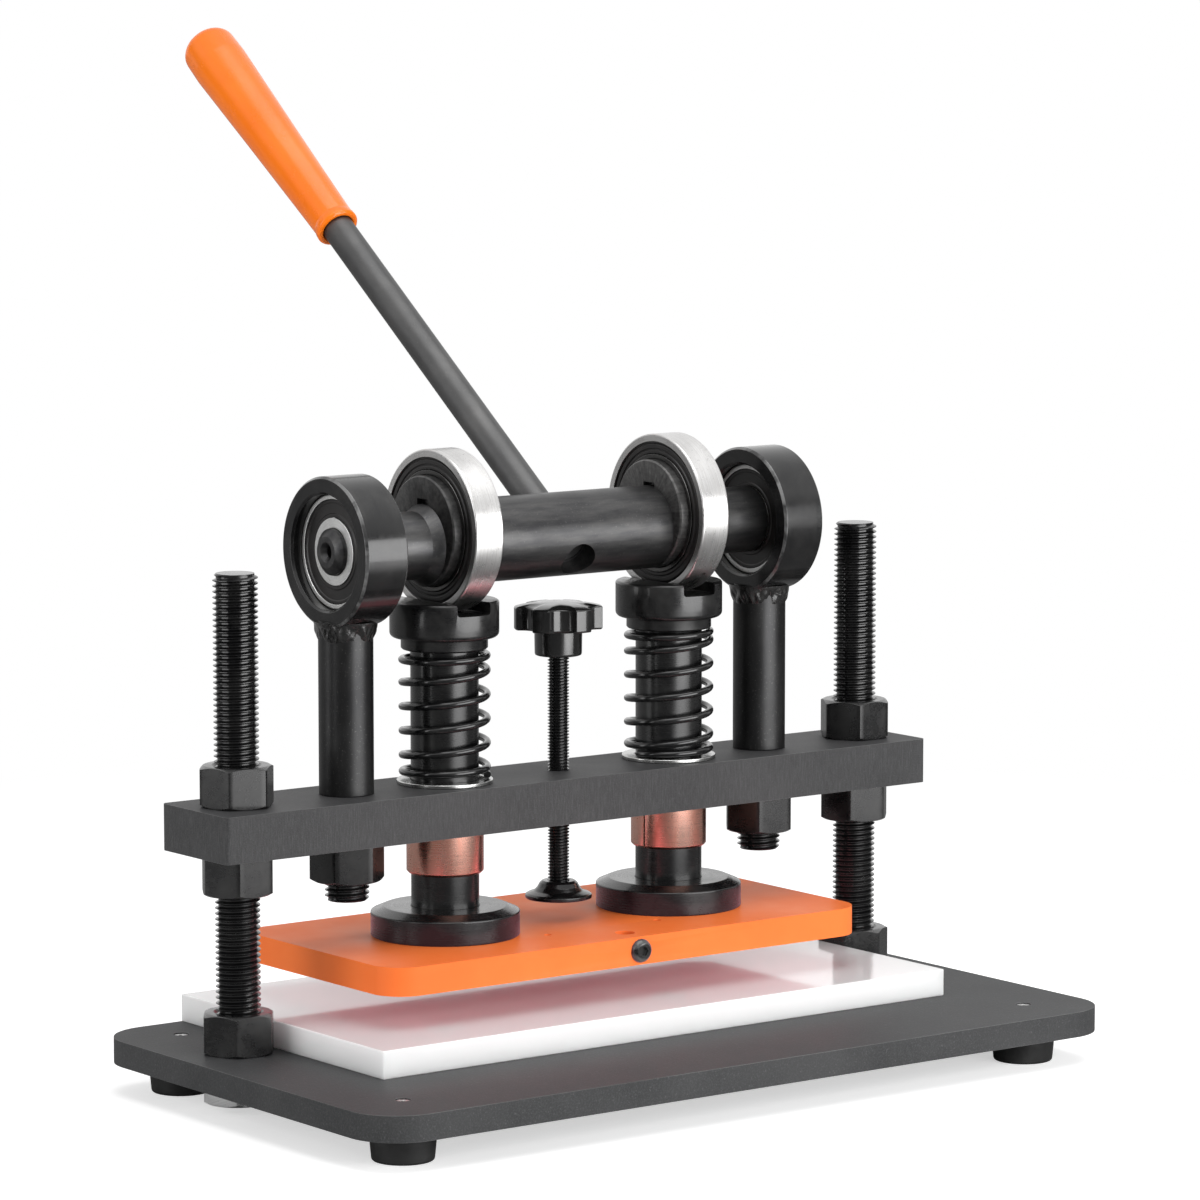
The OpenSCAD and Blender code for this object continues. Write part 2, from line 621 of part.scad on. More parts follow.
module adjuster_knob() color(black) translate([0, 0, base_z + knob_top]) {
    R = knob_d / 2;
    difference() {
        translate([0, 0, -knob_h]) linear_extrude(knob_h) difference() {
            circle(R, $fn = 96);
            for (i = [0 : 6]) rotate(i * 360 / 7 + 8) translate([R + hollow_r * 0.55, 0])
                circle(hollow_r, $fn = 48);
        }
        translate([0, 0, -knob_h]) difference() {
            translate([0, 0, knob_h - 2.4]) cylinder(r = R + 2, h = 5, $fn = 96);
            translate([0, 0, knob_h - 2.5]) cylinder(r1 = R, r2 = R - 3, h = 2.6, $fn = 96);
        }
        translate([0, 0, -knob_h - hub_h - 1]) cylinder(r = adj_d / 2, h = hub_h + 8, $fn = 64);
    }
    difference() {
        translate([0, 0, -knob_h - hub_h]) rotate_extrude($fn = 96) polygon([[0, 0],
            [hub_d / 2 - 0.8, 0], [hub_d / 2, 0.8], [hub_d / 2, hub_h + 0.1],
            [0, hub_h + 0.1]]);
        translate([0, 0, -knob_h - hub_h - 1]) cylinder(r = adj_d / 2, h = hub_h + 8, $fn = 64);
    }
}

module adjuster_screw() color(black)
    bar(adj_d / 2, base_z + swivel_z + 4.5, base_z + knob_top - knob_h + 7, 0.8);

module adjuster_foot() color(black) translate([0, 0, base_z + swivel_z]) difference() {
    rotate_extrude($fn = 96) polygon([[0, 0], [swivel_d / 2 - 0.6, 0],
        [swivel_d / 2, 0.6], [swivel_d / 2, 2.0], [swivel_d / 2 - 1, 2.8],
        [13.5, 4.2], [12, 6.2], [10.4, 8.4], [8.6, 9.8], [0, 9.8]]);
    translate([0, 0, 4.4]) cylinder(r = adj_d / 2 + run_gap, h = 10, $fn = 64);
}

// ---- the assembly ----

place() base_plate();
place() rubber_feet();
place() foot_screws();
place() rod_left();
place() rod_right();
place() base_nut_left();
place() base_nut_right();
place() under_nuts();
place() cutting_board();
place() crossbeam();
place() beam_nut_upper_left();
place() beam_nut_upper_right();
place() beam_nut_lower_left();
place() beam_nut_lower_right();
place() post_left();
place() post_right();
place() post_nut_left();
place() post_nut_right();
place() weld_beads();
place() housing_left();
place() housing_right();
place() end_ring_left();
place() end_ring_right();
place() end_seals();
place() end_balls();
place() bush_left();
place() bush_right();
place() spring_washers();
place() main_shaft();
place() eccentric_left();
place() eccentric_right();
place() shaft_keys();
place() end_inner_left();
place() end_inner_right();
place() roller_inner_left();
place() roller_inner_right();
place() handle_bar();
place() handle_grip();
place() roller_tyre_left();
place() roller_tyre_right();
place() roller_seals_left();
place() roller_seals_right();
place() roller_balls_left();
place() roller_balls_right();
place() platen();
place() platen_screws();
place() plunger_left();
place() plunger_right();
place() plunger_cap_left();
place() plunger_cap_right();
place() flange_left();
place() flange_right();
place() die_clamp_screw();
place() spring_left();
place() spring_right();
place() adjuster_knob();
place() adjuster_screw();
place() adjuster_foot();
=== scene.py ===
"""Belt embossing press: every sub-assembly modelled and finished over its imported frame.

Sizes in the classes are millimetres in the part's own frame; meshes are metres.
"""

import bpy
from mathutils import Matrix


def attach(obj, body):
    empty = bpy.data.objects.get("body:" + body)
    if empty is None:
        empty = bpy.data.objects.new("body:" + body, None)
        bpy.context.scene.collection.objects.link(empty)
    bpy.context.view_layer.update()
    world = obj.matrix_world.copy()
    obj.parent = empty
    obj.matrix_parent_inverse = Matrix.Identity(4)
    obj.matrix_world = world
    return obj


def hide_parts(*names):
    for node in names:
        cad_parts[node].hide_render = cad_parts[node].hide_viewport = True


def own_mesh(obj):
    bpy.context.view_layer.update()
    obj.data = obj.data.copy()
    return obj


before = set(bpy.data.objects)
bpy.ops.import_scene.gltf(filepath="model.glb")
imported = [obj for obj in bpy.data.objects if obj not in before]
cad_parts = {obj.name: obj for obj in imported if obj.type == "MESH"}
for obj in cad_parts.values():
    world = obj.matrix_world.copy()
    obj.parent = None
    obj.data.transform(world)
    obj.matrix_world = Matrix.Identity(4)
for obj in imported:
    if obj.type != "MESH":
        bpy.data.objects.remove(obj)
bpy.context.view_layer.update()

import logging
import math
import random
from dataclasses import dataclass
from enum import Enum
from functools import cache
from typing import Callable, Protocol, Sequence

import bmesh
import bpy
from mathutils import Matrix, Vector

log = logging.getLogger("press")

Triple = tuple[float, float, float]
Colour = Triple
Outline = Sequence[tuple[float, ...]]
Ring = Callable[[float], tuple[float, float]]
Socket = bpy.types.NodeSocket

MM = 0.001
POST_X = 140.7
LIFT_X = 76.4           # plungers, eccentrics and rollers
ROD_X = 210.5
ROD_Y = -86.0           # plane of the rods, the plungers and the shaft
AXIS_Z = 293.4          # height of the shaft's axis
ROLLER_Y = -84.998      # centre of the eccentrics with the lever at rest
ROLLER_Z = 300.53
ROLLER_WIDTH = 18.0
THREAD_RADIUS = 12.0    # rods and studs, and the bores of their nuts
THREAD_PITCH = 3.0
NUT_HEIGHT = 22.0
GROOVE = 3.5            # half width of the ball grooves
ROD_PLANE: Triple = (0.0, ROD_Y, 0.0)
SHAFT_LINE: Triple = (0.0, ROD_Y, AXIS_Z)
ROLLER_LINE: Triple = (0.0, ROLLER_Y, ROLLER_Z)


class Axis(Enum):
    """Direction that a turned piece or its tool marks run round."""
    X = "x"
    Z = "z"


class Side(Enum):
    """Left or right half of the press, as its sign along X."""
    LEFT = -1
    RIGHT = 1

    @property
    def word(self) -> str:
        """Name ending of the side's pieces."""
        return self.name.lower()


# ---------------------------------------------------------------- placing

def seat(x: float, y: float, z: float, axis: Axis = Axis.Z, tilt: float = 0.0) -> Matrix:
    """Matrix from a piece's own axis (along Z, millimetres) to its place in metres.

    Args:
        x: place along X in millimetres.
        y: place along Y.
        z: place along Z.
        axis: where the piece's own Z points.
        tilt: a further turn about X in degrees.

    Returns:
        The placing matrix.
    """
    turn = Matrix.Rotation(math.radians(tilt), 4, "X")
    if axis is Axis.X:
        turn = turn @ Matrix.Rotation(math.pi / 2, 4, "Y")
    return Matrix.Translation(Vector((x, y, z)) * MM) @ turn @ Matrix.Scale(MM, 4)


def eased(points: Outline, closed: bool = True, steps: int = 3) -> list[tuple[float, float]]:
    """Rounds the corners of an outline and keeps its flats flat.

    Args:
        points: (radius, height) or (radius, height, corner radius) tuples.
        closed: whether the last point joins the first.
        steps: pieces in each rounded corner.

    Returns:
        Plain (radius, height) points with extra points that hold the flats.
    """
    out: list[tuple[float, float]] = []
    total = len(points)
    for i, point in enumerate(points):
        here = Vector(point[:2])
        size = point[2] if len(point) > 2 else 0.0
        if size <= 0 or (not closed and i in (0, total - 1)):
            out.append(tuple(here))
            continue
        before = Vector(points[i - 1][:2]) - here
        after = Vector(points[(i + 1) % total][:2]) - here
        angle = before.angle(after)
        reach = min(size / math.tan(angle / 2), before.length * 0.45, after.length * 0.45)
        a, b = before.normalized(), after.normalized()
        hold = min(reach * 0.35, before.length * 0.05 + 0.02)
        out.append(tuple(here + a * (reach + hold)))
        middle = here + (a + b).normalized() * (reach / math.cos(angle / 2))
        radius = reach * math.tan(angle / 2)
        start, end = here + a * reach - middle, here + b * reach - middle
        swing = start.angle(end) if start.length and end.length else 0.0
        for k in range(steps + 1):
            share = k / steps
            way = start.lerp(end, share)
            if swing > 1e-4:
                way = start * math.sin((1 - share) * swing) + end * math.sin(share * swing)
                way /= math.sin(swing)
            out.append(tuple(middle + way.normalized() * radius))
        out.append(tuple(here + b * (reach + hold)))
    return out


def finish_mesh(bm: bmesh.types.BMesh, name: str, sharp: float,
                place: Matrix | None = None) -> bpy.types.Object:
    """Turns a finished bmesh into a smooth-shaded object at the origin.

    Args:
        bm: the mesh, freed here.
        name: the piece's name.
        sharp: edges over this angle in degrees stay sharp.
        place: matrix from the piece's own place to metres.

    Returns:
        The linked object.
    """
    if place is not None:
        bmesh.ops.transform(bm, matrix=place, verts=bm.verts)
    bmesh.ops.recalc_face_normals(bm, faces=bm.faces)
    mesh = bpy.data.meshes.new(name)
    bm.to_mesh(mesh)
    bm.free()
    for face in mesh.polygons:
        face.use_smooth = True
    mesh.set_sharp_from_angle(angle=math.radians(sharp))
    piece = bpy.data.objects.new(name, mesh)
    bpy.context.scene.collection.objects.link(piece)
    return piece


def join_meshes(name: str, parts: Sequence[bpy.types.Object]) -> bpy.types.Object:
    """Joins several pieces of one finish into the first and renames it.

    Args:
        name: the joined piece's name.
        parts: the pieces, of which the first is kept.

    Returns:
        The joined object.
    """
    keep = parts[0]
    bm = bmesh.new()
    for part in parts:
        bm.from_mesh(part.data)
    bm.to_mesh(keep.data)
    bm.free()
    for part in parts[1:]:
        bpy.data.objects.remove(part)
    keep.name = keep.data.name = name
    return keep


def lathe(bm: bmesh.types.BMesh, points: Outline, closed: bool = True, steps: int = 96) -> None:
    """Spins an outline of (radius, height) points round Z into bm.

    Args:
        bm: the mesh that receives the shape.
        points: the outline.
        closed: whether the last point joins the first.
        steps: facets round the shape.
    """
    verts = [bm.verts.new((r, 0.0, z)) for r, z in points]
    pairs = list(zip(verts, verts[1:])) + ([(verts[-1], verts[0])] if closed else [])
    edges = [bm.edges.new(pair) for pair in pairs]
    bmesh.ops.spin(bm, geom=verts + edges, cent=(0, 0, 0), axis=(0, 0, 1), dvec=(0, 0, 0),
                   angle=math.tau, steps=steps, use_merge=True, use_duplicate=False)
    bmesh.ops.remove_doubles(bm, verts=bm.verts, dist=1e-5)


def turned(name: str, points: Outline, place: Matrix, closed: bool = True,
           steps: int = 96, rounding: int = 3, sharp: float = 32.0) -> bpy.types.Object:
    """A piece turned round an axis.

    Args:
        name: the piece's name.
        points: outline of (radius, height[, corner radius]).
        place: matrix that seats the piece.
        closed: False for a solid whose outline starts and ends on the axis.
        steps: facets round the piece.
        rounding: facets in each corner.
        sharp: edges over this angle stay sharp.

    Returns:
        The object.
    """
    bm = bmesh.new()
    lathe(bm, eased(points, closed, rounding), closed, steps)
    return finish_mesh(bm, name, sharp, place)


def sealed(points: Outline, height: float, place: Matrix, steps: int) -> list[bpy.types.Object]:
    """The two pressed seals of a ball bearing, facing away from each other.

    Args:
        points: outline of one seal, from its inner face out.
        height: distance of the inner face from the bearing's middle.
        place: matrix that seats the bearing.
        steps: facets round each seal.

    Returns:
        Both objects.
    """
    return [turned("seal", [(r, t * (height + h), c) for r, h, c in points], place, True, steps, 2)
            for t in (-1, 1)]


def refined(name: str, node: str, width: float, segments: int = 2, least: float = 30.0) -> bpy.types.Object:
    """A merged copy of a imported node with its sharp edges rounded.

    Args:
        name: the piece's name.
        node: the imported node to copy.
        width: size of the rounding in millimetres.
        segments: facets in it.
        least: edges over this angle in degrees are rounded.

    Returns:
        The object.
    """
    bm = bmesh.new()
    bm.from_mesh(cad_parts[node].data)
    bmesh.ops.remove_doubles(bm, verts=bm.verts, dist=2e-6)
    bmesh.ops.dissolve_limit(bm, angle_limit=math.radians(0.4), verts=bm.verts, edges=bm.edges,
                             use_dissolve_boundaries=False, delimit=set())
    edges = [e for e in bm.edges if len(e.link_faces) == 2
             and e.calc_face_angle(0.0) > math.radians(least)]
    bmesh.ops.bevel(bm, geom=edges, offset=width * MM, offset_type="OFFSET", segments=segments,
                    profile=0.5, affect="EDGES", clamp_overlap=True, material=-1, loop_slide=True)
    bmesh.ops.remove_doubles(bm, verts=bm.verts, dist=2e-6)
    return finish_mesh(bm, name, 17.0)


def stacked(bm: bmesh.types.BMesh, rings: Sequence[Ring], count: int, lids: bool) -> None:
    """Raises a circle of vertices through rings of any shape.

    Args:
        bm: the mesh that receives the shape.
        rings: for each level a function from the angle to (radius, height).
        count: vertices in a ring.
        lids: True closes both ends, False joins the last ring to the first.
    """
    made = bmesh.ops.create_circle(bm, cap_ends=False, segments=count, radius=1.0)["verts"]
    angles = [math.atan2(v.co.y, v.co.x) for v in made]

    def shape(verts: Sequence[bmesh.types.BMVert], ring: Ring) -> None:
        """Moves one ring's vertices to their places.

        Args:
            verts: the ring's vertices, in the order of the angles.
            ring: gives radius and height in a direction.
        """
        for v, a in zip(verts, angles):
            r, z = ring(a)
            v.co = (r * math.cos(a), r * math.sin(a), z)

    shape(made, rings[0])
    first = edges = list({e for v in made for e in v.link_edges})
    last = made
    for ring in rings[1:]:
        grown = bmesh.ops.extrude_edge_only(bm, edges=edges)["geom"]
        fresh = {g for g in grown if isinstance(g, bmesh.types.BMVert)}
        above = [next(e.other_vert(v) for e in v.link_edges if e.other_vert(v) in fresh) for v in last]
        edges = [g for g in grown if isinstance(g, bmesh.types.BMEdge) and g.is_boundary]
        shape(above, ring)
        last = above
    if lids:
        bmesh.ops.edgenet_fill(bm, edges=first)
        bmesh.ops.edgenet_fill(bm, edges=edges)
    else:
        bmesh.ops.bridge_loops(bm, edges=first + edges)


def threaded(name: str, radius: float, pitch: float, low: float, high: float, place: Matrix,
             chamfer: float, steps: int = 36) -> bpy.types.Object:
    """A metric thread cut to length, with chamfered ends.

    Args:
        name: the piece's name.
        radius: crest radius.
        pitch: rise in one turn.
        low: height of the lower end.
        high: height of the upper end.
        place: matrix that seats the piece.
        chamfer: size of the end chamfers.
        steps: facets in one turn.

    Returns:
        The object.
    """
    root = radius - 0.6134 * pitch
    shape = [(root, 0.125), (radius, 0.4375), (radius, 0.5625), (root, 0.875), (root, 1.125)]
    turns = math.ceil((high - low) / pitch) + 3
    bm = bmesh.new()
    verts = [bm.verts.new((r, 0.0, low + (t - 2) * pitch)) for r, t in shape]
    edges = [bm.edges.new(pair) for pair in zip(verts, verts[1:])]
    bmesh.ops.spin(bm, geom=verts + edges, cent=(0, 0, 0), axis=(0, 0, 1), dvec=(0, 0, pitch / steps),
                   angle=math.tau, steps=steps, use_merge=False, use_duplicate=False)
    turn = bm.verts[:] + bm.edges[:] + bm.faces[:]
    for count in range(1, turns):
        fresh = bmesh.ops.duplicate(bm, geom=turn)["geom"]
        bmesh.ops.translate(bm, vec=(0, 0, pitch * count),
                            verts=[g for g in fresh if isinstance(g, bmesh.types.BMVert)])
    bmesh.ops.remove_doubles(bm, verts=bm.verts, dist=pitch * 0.004)
    for height, up in ((low, -1.0), (high, 1.0)):
        bmesh.ops.bisect_plane(bm, geom=bm.verts[:] + bm.edges[:] + bm.faces[:], dist=1e-5,
                               plane_co=(0, 0, height), plane_no=(0, 0, up), clear_outer=True)
    for v in bm.verts:
        spare = min(v.co.z - low, high - v.co.z)
        most = radius - max(0.0, chamfer - spare)
        flat = Vector((v.co.x, v.co.y))
        if flat.length > most:
            flat *= most / flat.length
            v.co.x, v.co.y = flat
    bmesh.ops.holes_fill(bm, edges=[e for e in bm.edges if e.is_boundary], sides=0)
    return finish_mesh(bm, name, 28.0, place)


def hex_nut(name: str, x: float, low: float, turn: float, height: float = NUT_HEIGHT,
            across: float = 36.0, bore: float = THREAD_RADIUS, mouth: float = 1.3) -> bpy.types.Object:
    """A hexagon nut about Z with the arcs that its chamfer leaves on the flats.

    Args:
        name: the piece's name.
        x: place along X.
        low: height of its underside.
        turn: direction of a corner in degrees.
        height: its height.
        across: width across flats.
        bore: radius of the bore.
        mouth: size of the chamfer at the bore.

    Returns:
        The object.
    """
    most = across / 2 / math.cos(math.pi / 6) - 0.35
    start = across / 2 - 0.5
    slope = math.tan(math.radians(30))

    def flank(a: float) -> float:
        """Radius of the hexagon in direction a."""
        return min(most, across / 2 / math.cos((a % (math.pi / 3)) - math.pi / 6))

    rings: list[Ring] = [
        lambda a: (bore, mouth), lambda a: (bore + mouth, 0.0),
        lambda a: (start - 0.2, 0.0), lambda a: (start, 0.04),
        lambda a: (flank(a), (flank(a) - start) * slope),
        lambda a: (flank(a), height - (flank(a) - start) * slope),
        lambda a: (start, height - 0.04), lambda a: (start - 0.2, height),
        lambda a: (bore + mouth, height), lambda a: (bore, height - mouth)]
    bm = bmesh.new()
    stacked(bm, rings, 96, False)
    return finish_mesh(bm, name, 20.0, seat(x, ROD_Y, low) @ Matrix.Rotation(math.radians(turn), 4, "Z"))


def coil(name: str, place: Matrix, radius: float, wire: float, height: float, start: float,
         turns: float = 6.4, sides: int = 14, steps: int = 60) -> bpy.types.Object:
    """A compression spring with one closed turn at each end.

    Args:
        name: the piece's name.
        place: matrix that seats its lower end.
        radius: radius of the wire's middle.
        wire: diameter of the wire.
        height: free height of the fitted spring.
        start: direction of the wire's lower end in degrees.
        turns: number of turns.
        sides: facets round the wire.
        steps: facets in one turn.

    Returns:
        The object.
    """
    bm = bmesh.new()
    spot = Matrix.Translation((radius, 0, wire / 2)) @ Matrix.Rotation(math.pi / 2, 4, "X")
    loop = bmesh.ops.create_circle(bm, cap_ends=False, segments=sides, radius=wire / 2, matrix=spot)["verts"]
    geom: list = loop + list({e for v in loop for e in v.link_edges})
    close = wire * 1.1
    middle = (height - wire - 2 * close) / (turns - 2)
    for share, rise in ((1.0, close), (turns - 2, middle), (1.0, close)):
        count = round(steps * share)
        geom = bmesh.ops.spin(bm, geom=geom, cent=(0, 0, 0), axis=(0, 0, 1),
                              dvec=(0, 0, rise * share / count), angle=math.tau * share, steps=count,
                              use_merge=False, use_duplicate=False)["geom_last"]
    bmesh.ops.remove_doubles(bm, verts=bm.verts, dist=1e-4)
    bmesh.ops.holes_fill(bm, edges=[e for e in bm.edges if e.is_boundary], sides=0)
    return finish_mesh(bm, name, 40.0, place @ Matrix.Rotation(math.radians(start), 4, "Z"))


# ---------------------------------------------------------------- finishes

class Graph:
    """A node tree, with short calls for the steps that finishes and surroundings share."""

    def __init__(self, tree: bpy.types.NodeTree) -> None:
        """Takes the tree to work in."""
        self.tree = tree

    def add(self, kind: str, **settings: object) -> bpy.types.Node:
        """Adds a node; settings are its properties.

        Args:
            kind: the node's type.
            settings: properties of the node.

        Returns:
            The node.
        """
        node = self.tree.nodes.new(kind)
        for key, value in settings.items():
            setattr(node, key, value)
        return node

    def put(self, node: bpy.types.Node, **sockets: float | Sequence[float]) -> None:
        """Sets a node's sockets to plain values, with _ for a space in a socket's name.

        Args:
            node: the node.
            sockets: a value for each socket.
        """
        for key, value in sockets.items():
            node.inputs[key.replace("_", " ")].default_value = value

    def link(self, source: Socket, target: Socket) -> None:
        """Links two sockets."""
        self.tree.links.new(source, target)

    def feed(self, target: Socket, value: Socket | float | Sequence[float]) -> None:
        """Links a socket or sets a plain value.

        Args:
            target: the input.
            value: a socket or a plain value.
        """
        if isinstance(value, Socket):
            self.link(value, target)
        else:
            target.default_value = value

    def step(self, kind: str, a: Socket | float, b: Socket | float = 0.0) -> Socket:
        """One step of arithmetic.

        Args:
            kind: the operation.
            a: the first value.
            b: the second value, where the operation has one.

        Returns:
            The result.
        """
        node = self.add("ShaderNodeMath", operation=kind)
        self.feed(node.inputs[0], a)
        self.feed(node.inputs[1], b)
        return node.outputs[0]

    def plus(self, a: Socket | float, b: Socket | float) -> Socket:
        """The sum of two values."""
        return self.step("ADD", a, b)

    def times(self, a: Socket | float, b: Socket | float) -> Socket:
        """The product of two values."""
        return self.step("MULTIPLY", a, b)

    def parts(self, vector: Socket) -> tuple[Socket, ...]:
        """X, Y and Z of a vector.

        Args:
            vector: the vector.

        Returns:
            Three sockets.
        """
        node = self.add("ShaderNodeSeparateXYZ")
        self.link(vector, node.inputs[0])
        return tuple(node.outputs)

    def span(self, value: Socket, low: float, high: float, to_low: float = 0.0, to_high: float = 1.0,
             way: str = "LINEAR") -> Socket:
        """Maps low..high to to_low..to_high, clamped.

        Args:
            value: what is mapped.
            low: value that gives to_low.
            high: value that gives to_high.
            to_low: result at low.
            to_high: result at high.
            way: how the values between are met.

        Returns:
            The result.
        """
        node = self.add("ShaderNodeMapRange", interpolation_type=way)
        self.link(value, node.inputs["Value"])
        self.put(node, From_Min=low, From_Max=high, To_Min=to_low, To_Max=to_high)
        return node.outputs["Result"]


class Bench(Graph):
    """Node tree of one material, with the patterns that the finishes share."""

    def __init__(self, name: str, **sockets: float | tuple[float, ...]) -> None:
        """Makes the material and sets constant values on its shader.

        Args:
            name: the material's name.
            sockets: shader sockets, with _ for a space.
        """
        self.material = bpy.data.materials.new(name)
        self.material.use_nodes = True
        super().__init__(self.material.node_tree)
        self.shader = self.tree.nodes["Principled BSDF"]
        self.put(self.shader, **sockets)

    def place(self, scale: Triple = (1, 1, 1), shift: Triple = (0, 0, 0)) -> Socket:
        """Object coordinates moved by -shift millimetres and then scaled.

        Args:
            scale: scale along each axis.
            shift: the place in millimetres that becomes the origin.

        Returns:
            The coordinates.
        """
        node = self.add("ShaderNodeMapping", vector_type="POINT")
        self.link(self.add("ShaderNodeTexCoord").outputs["Object"], node.inputs["Vector"])
        self.put(node, Scale=scale, Location=[-s * MM * k for s, k in zip(shift, scale)])
        return node.outputs["Vector"]

    def polar(self, axis: Axis, centre: Triple) -> tuple[Socket, Socket, Socket]:
        """Radius, height along the axis and angle about a centre.

        Args:
            axis: the axis.
            centre: a point on it in millimetres.

        Returns:
            The three sockets, radius and height in metres and the angle in radians.
        """
        x, y, z = self.parts(self.place(shift=centre))
        along, one, two = (x, y, z) if axis is Axis.X else (z, x, y)
        radius = self.step("SQRT", self.plus(self.times(one, one), self.times(two, two)))
        return radius, along, self.step("ARCTAN2", one, two)

    def vector(self, x: Socket | float, y: Socket | float, z: Socket | float) -> Socket:
        """Joins three values into a vector.

        Args:
            x: value along X.
            y: value along Y.
            z: value along Z.

        Returns:
            The vector.
        """
        node = self.add("ShaderNodeCombineXYZ")
        for target, value in zip(node.inputs, (x, y, z)):
            self.feed(target, value)
        return node.outputs[0]

    def wound(self, angle: Socket, size: float, rise: Socket) -> Socket:
        """Winds a direction onto a circle, so that noise read there has no seam.

        Args:
            angle: direction round the piece.
            size: radius of the circle.
            rise: height over it.

        Returns:
            The place to read noise at.
        """
        return self.vector(self.times(self.step("SINE", angle), size),
                           self.times(self.step("COSINE", angle), size), rise)

    def noise(self, where: Socket, scale: float = 1.0, detail: float = 3.0, rough: float = 0.5,
              warp: float = 0.0) -> Socket:
        """Noise between about 0.3 and 0.7.

        Args:
            where: coordinates.
            scale: how fine it is.
            detail: number of finer layers.
            rough: strength of the finer layers.
            warp: how far it is bent.

        Returns:
            The noise.
        """
        node = self.add("ShaderNodeTexNoise")
        self.link(where, node.inputs["Vector"])
        self.put(node, Scale=scale, Detail=detail, Roughness=rough, Distortion=warp)
        return node.outputs["Fac"]

    def cells(self, where: Socket, scale: float) -> Socket:
        """Distance to the nearest of scattered points.

        Args:
            where: coordinates.
            scale: how close the points stand.

        Returns:
            The distance.
        """
        node = self.add("ShaderNodeTexVoronoi")
        self.link(where, node.inputs["Vector"])
        self.put(node, Scale=scale)
        return node.outputs["Distance"]

    def blend(self, share: Socket | float, a: Socket | Triple, b: Socket | Triple) -> Socket:
        """Mixes two colours.

        Args:
            share: part of the second colour.
            a: first colour.
            b: second colour.

        Returns:
            The mixed colour.
        """
        node = self.add("ShaderNodeMix", data_type="RGBA")
        self.feed(node.inputs["Factor"], share)
        for target, value in ((node.inputs[6], a), (node.inputs[7], b)):
            self.feed(target, value if isinstance(value, Socket) else (*value, 1.0))
        return node.outputs[2]

    def slopes(self) -> Socket:
        """Finds the rounded edges between upright and level faces.

        Returns:
            1 on such edges, 0 on faces, and between them on what leans a little.
        """
        _, _, up = self.parts(self.add("ShaderNodeTexCoord").outputs["Normal"])
        rise = self.step("ABSOLUTE", up)
        return self.times(self.span(rise, 0.12, 0.35), self.span(rise, 0.97, 0.90))

    def bump(self, height: Socket, strength: float, depth: float, under: Socket | None = None) -> Socket:
        """Surface relief.

        Args:
            height: the relief.
            strength: how much of it shows.
            depth: its size in millimetres.
            under: relief that it lies on.

        Returns:
            The normal.
        """
        node = self.add("ShaderNodeBump")
        self.put(node, Strength=strength, Distance=depth * MM)
        self.link(height, node.inputs["Height"])
        if under is not None:
            self.link(under, node.inputs["Normal"])
        return node.outputs["Normal"]

    def done(self, colour: Socket, rough: Socket, normal: Socket) -> bpy.types.Material:
        """Links what varies to the shader.

        Args:
            colour: base colour.
            rough: roughness.
            normal: normal.

        Returns:
            The material.
        """
        for key, source in (("Base Color", colour), ("Roughness", rough), ("Normal", normal)):
            self.link(source, self.shader.inputs[key])
        return self.material


class Finish(Protocol):
    """What every finish has: a name and a way to build its material."""
    name: str

    def build(self) -> bpy.types.Material:
        """The material."""


@dataclass(frozen=True)
class PowderCoat:
    """Matt graphite coating with a fine grain over a hatch of upright grinding marks."""
    name: str = "graphite_coat"
    dark: Colour = (0.030, 0.030, 0.031)
    light: Colour = (0.044, 0.044, 0.045)
    grain: float = 1500.0
    hatching: float = 1.0
    gloss: float = 0.32

    def build(self) -> bpy.types.Material:
        """The material."""
        b = Bench(self.name, Specular_IOR_Level=self.gloss, IOR=1.45)
        where = b.place()
        cloud = b.noise(where, 14.0, 4.0, 0.6)
        grain = b.noise(where, self.grain, 2.0, 0.6)
        pits = b.cells(where, 620.0)
        scuff = b.noise(b.place((30, 260, 60)), 1.0, 4.0, 0.7, 0.4)
        hatch = b.noise(b.place((1150, 1150, 130)), 1.0, 2.0, 0.6)
        colour = b.blend(b.span(cloud, 0.35, 0.65), self.dark, self.light)
        colour = b.blend(b.span(grain, 0.45, 0.8, 0.0, 0.5), colour, (0.085, 0.085, 0.088))
        ridge = b.span(hatch, 0.48, 0.72, 0.0, 0.26 * self.hatching)
        groove = b.span(hatch, 0.28, 0.44, 0.25 * self.hatching, 0.0)
        speck = b.span(b.noise(where, 760.0, 3.0, 0.7), 0.60, 0.72, 0.0, 0.55 - 0.3 * self.hatching)
        # painted highlight: rounded edges between upright and level faces are coloured lighter, more where
        # the cloud is light
        edge = b.times(b.slopes(), b.span(cloud, 0.36, 0.62, 0.35, 0.8))
        colour = b.blend(ridge, colour, (0.10, 0.10, 0.102))
        colour = b.blend(groove, colour, (0.018, 0.018, 0.018))
        colour = b.blend(speck, colour, (0.13, 0.13, 0.132))
        colour = b.blend(b.span(scuff, 0.66, 0.8, 0.0, 0.35), colour, (0.10, 0.10, 0.10))
        colour = b.blend(edge, colour, (0.20, 0.20, 0.20))
        normal = b.bump(pits, 0.22, 0.25, b.bump(grain, 0.35, 0.12))
        normal = b.bump(hatch, 0.16 * self.hatching, 0.12, normal)
        return b.done(colour, b.span(cloud, 0.3, 0.7, 0.50, 0.62), normal)


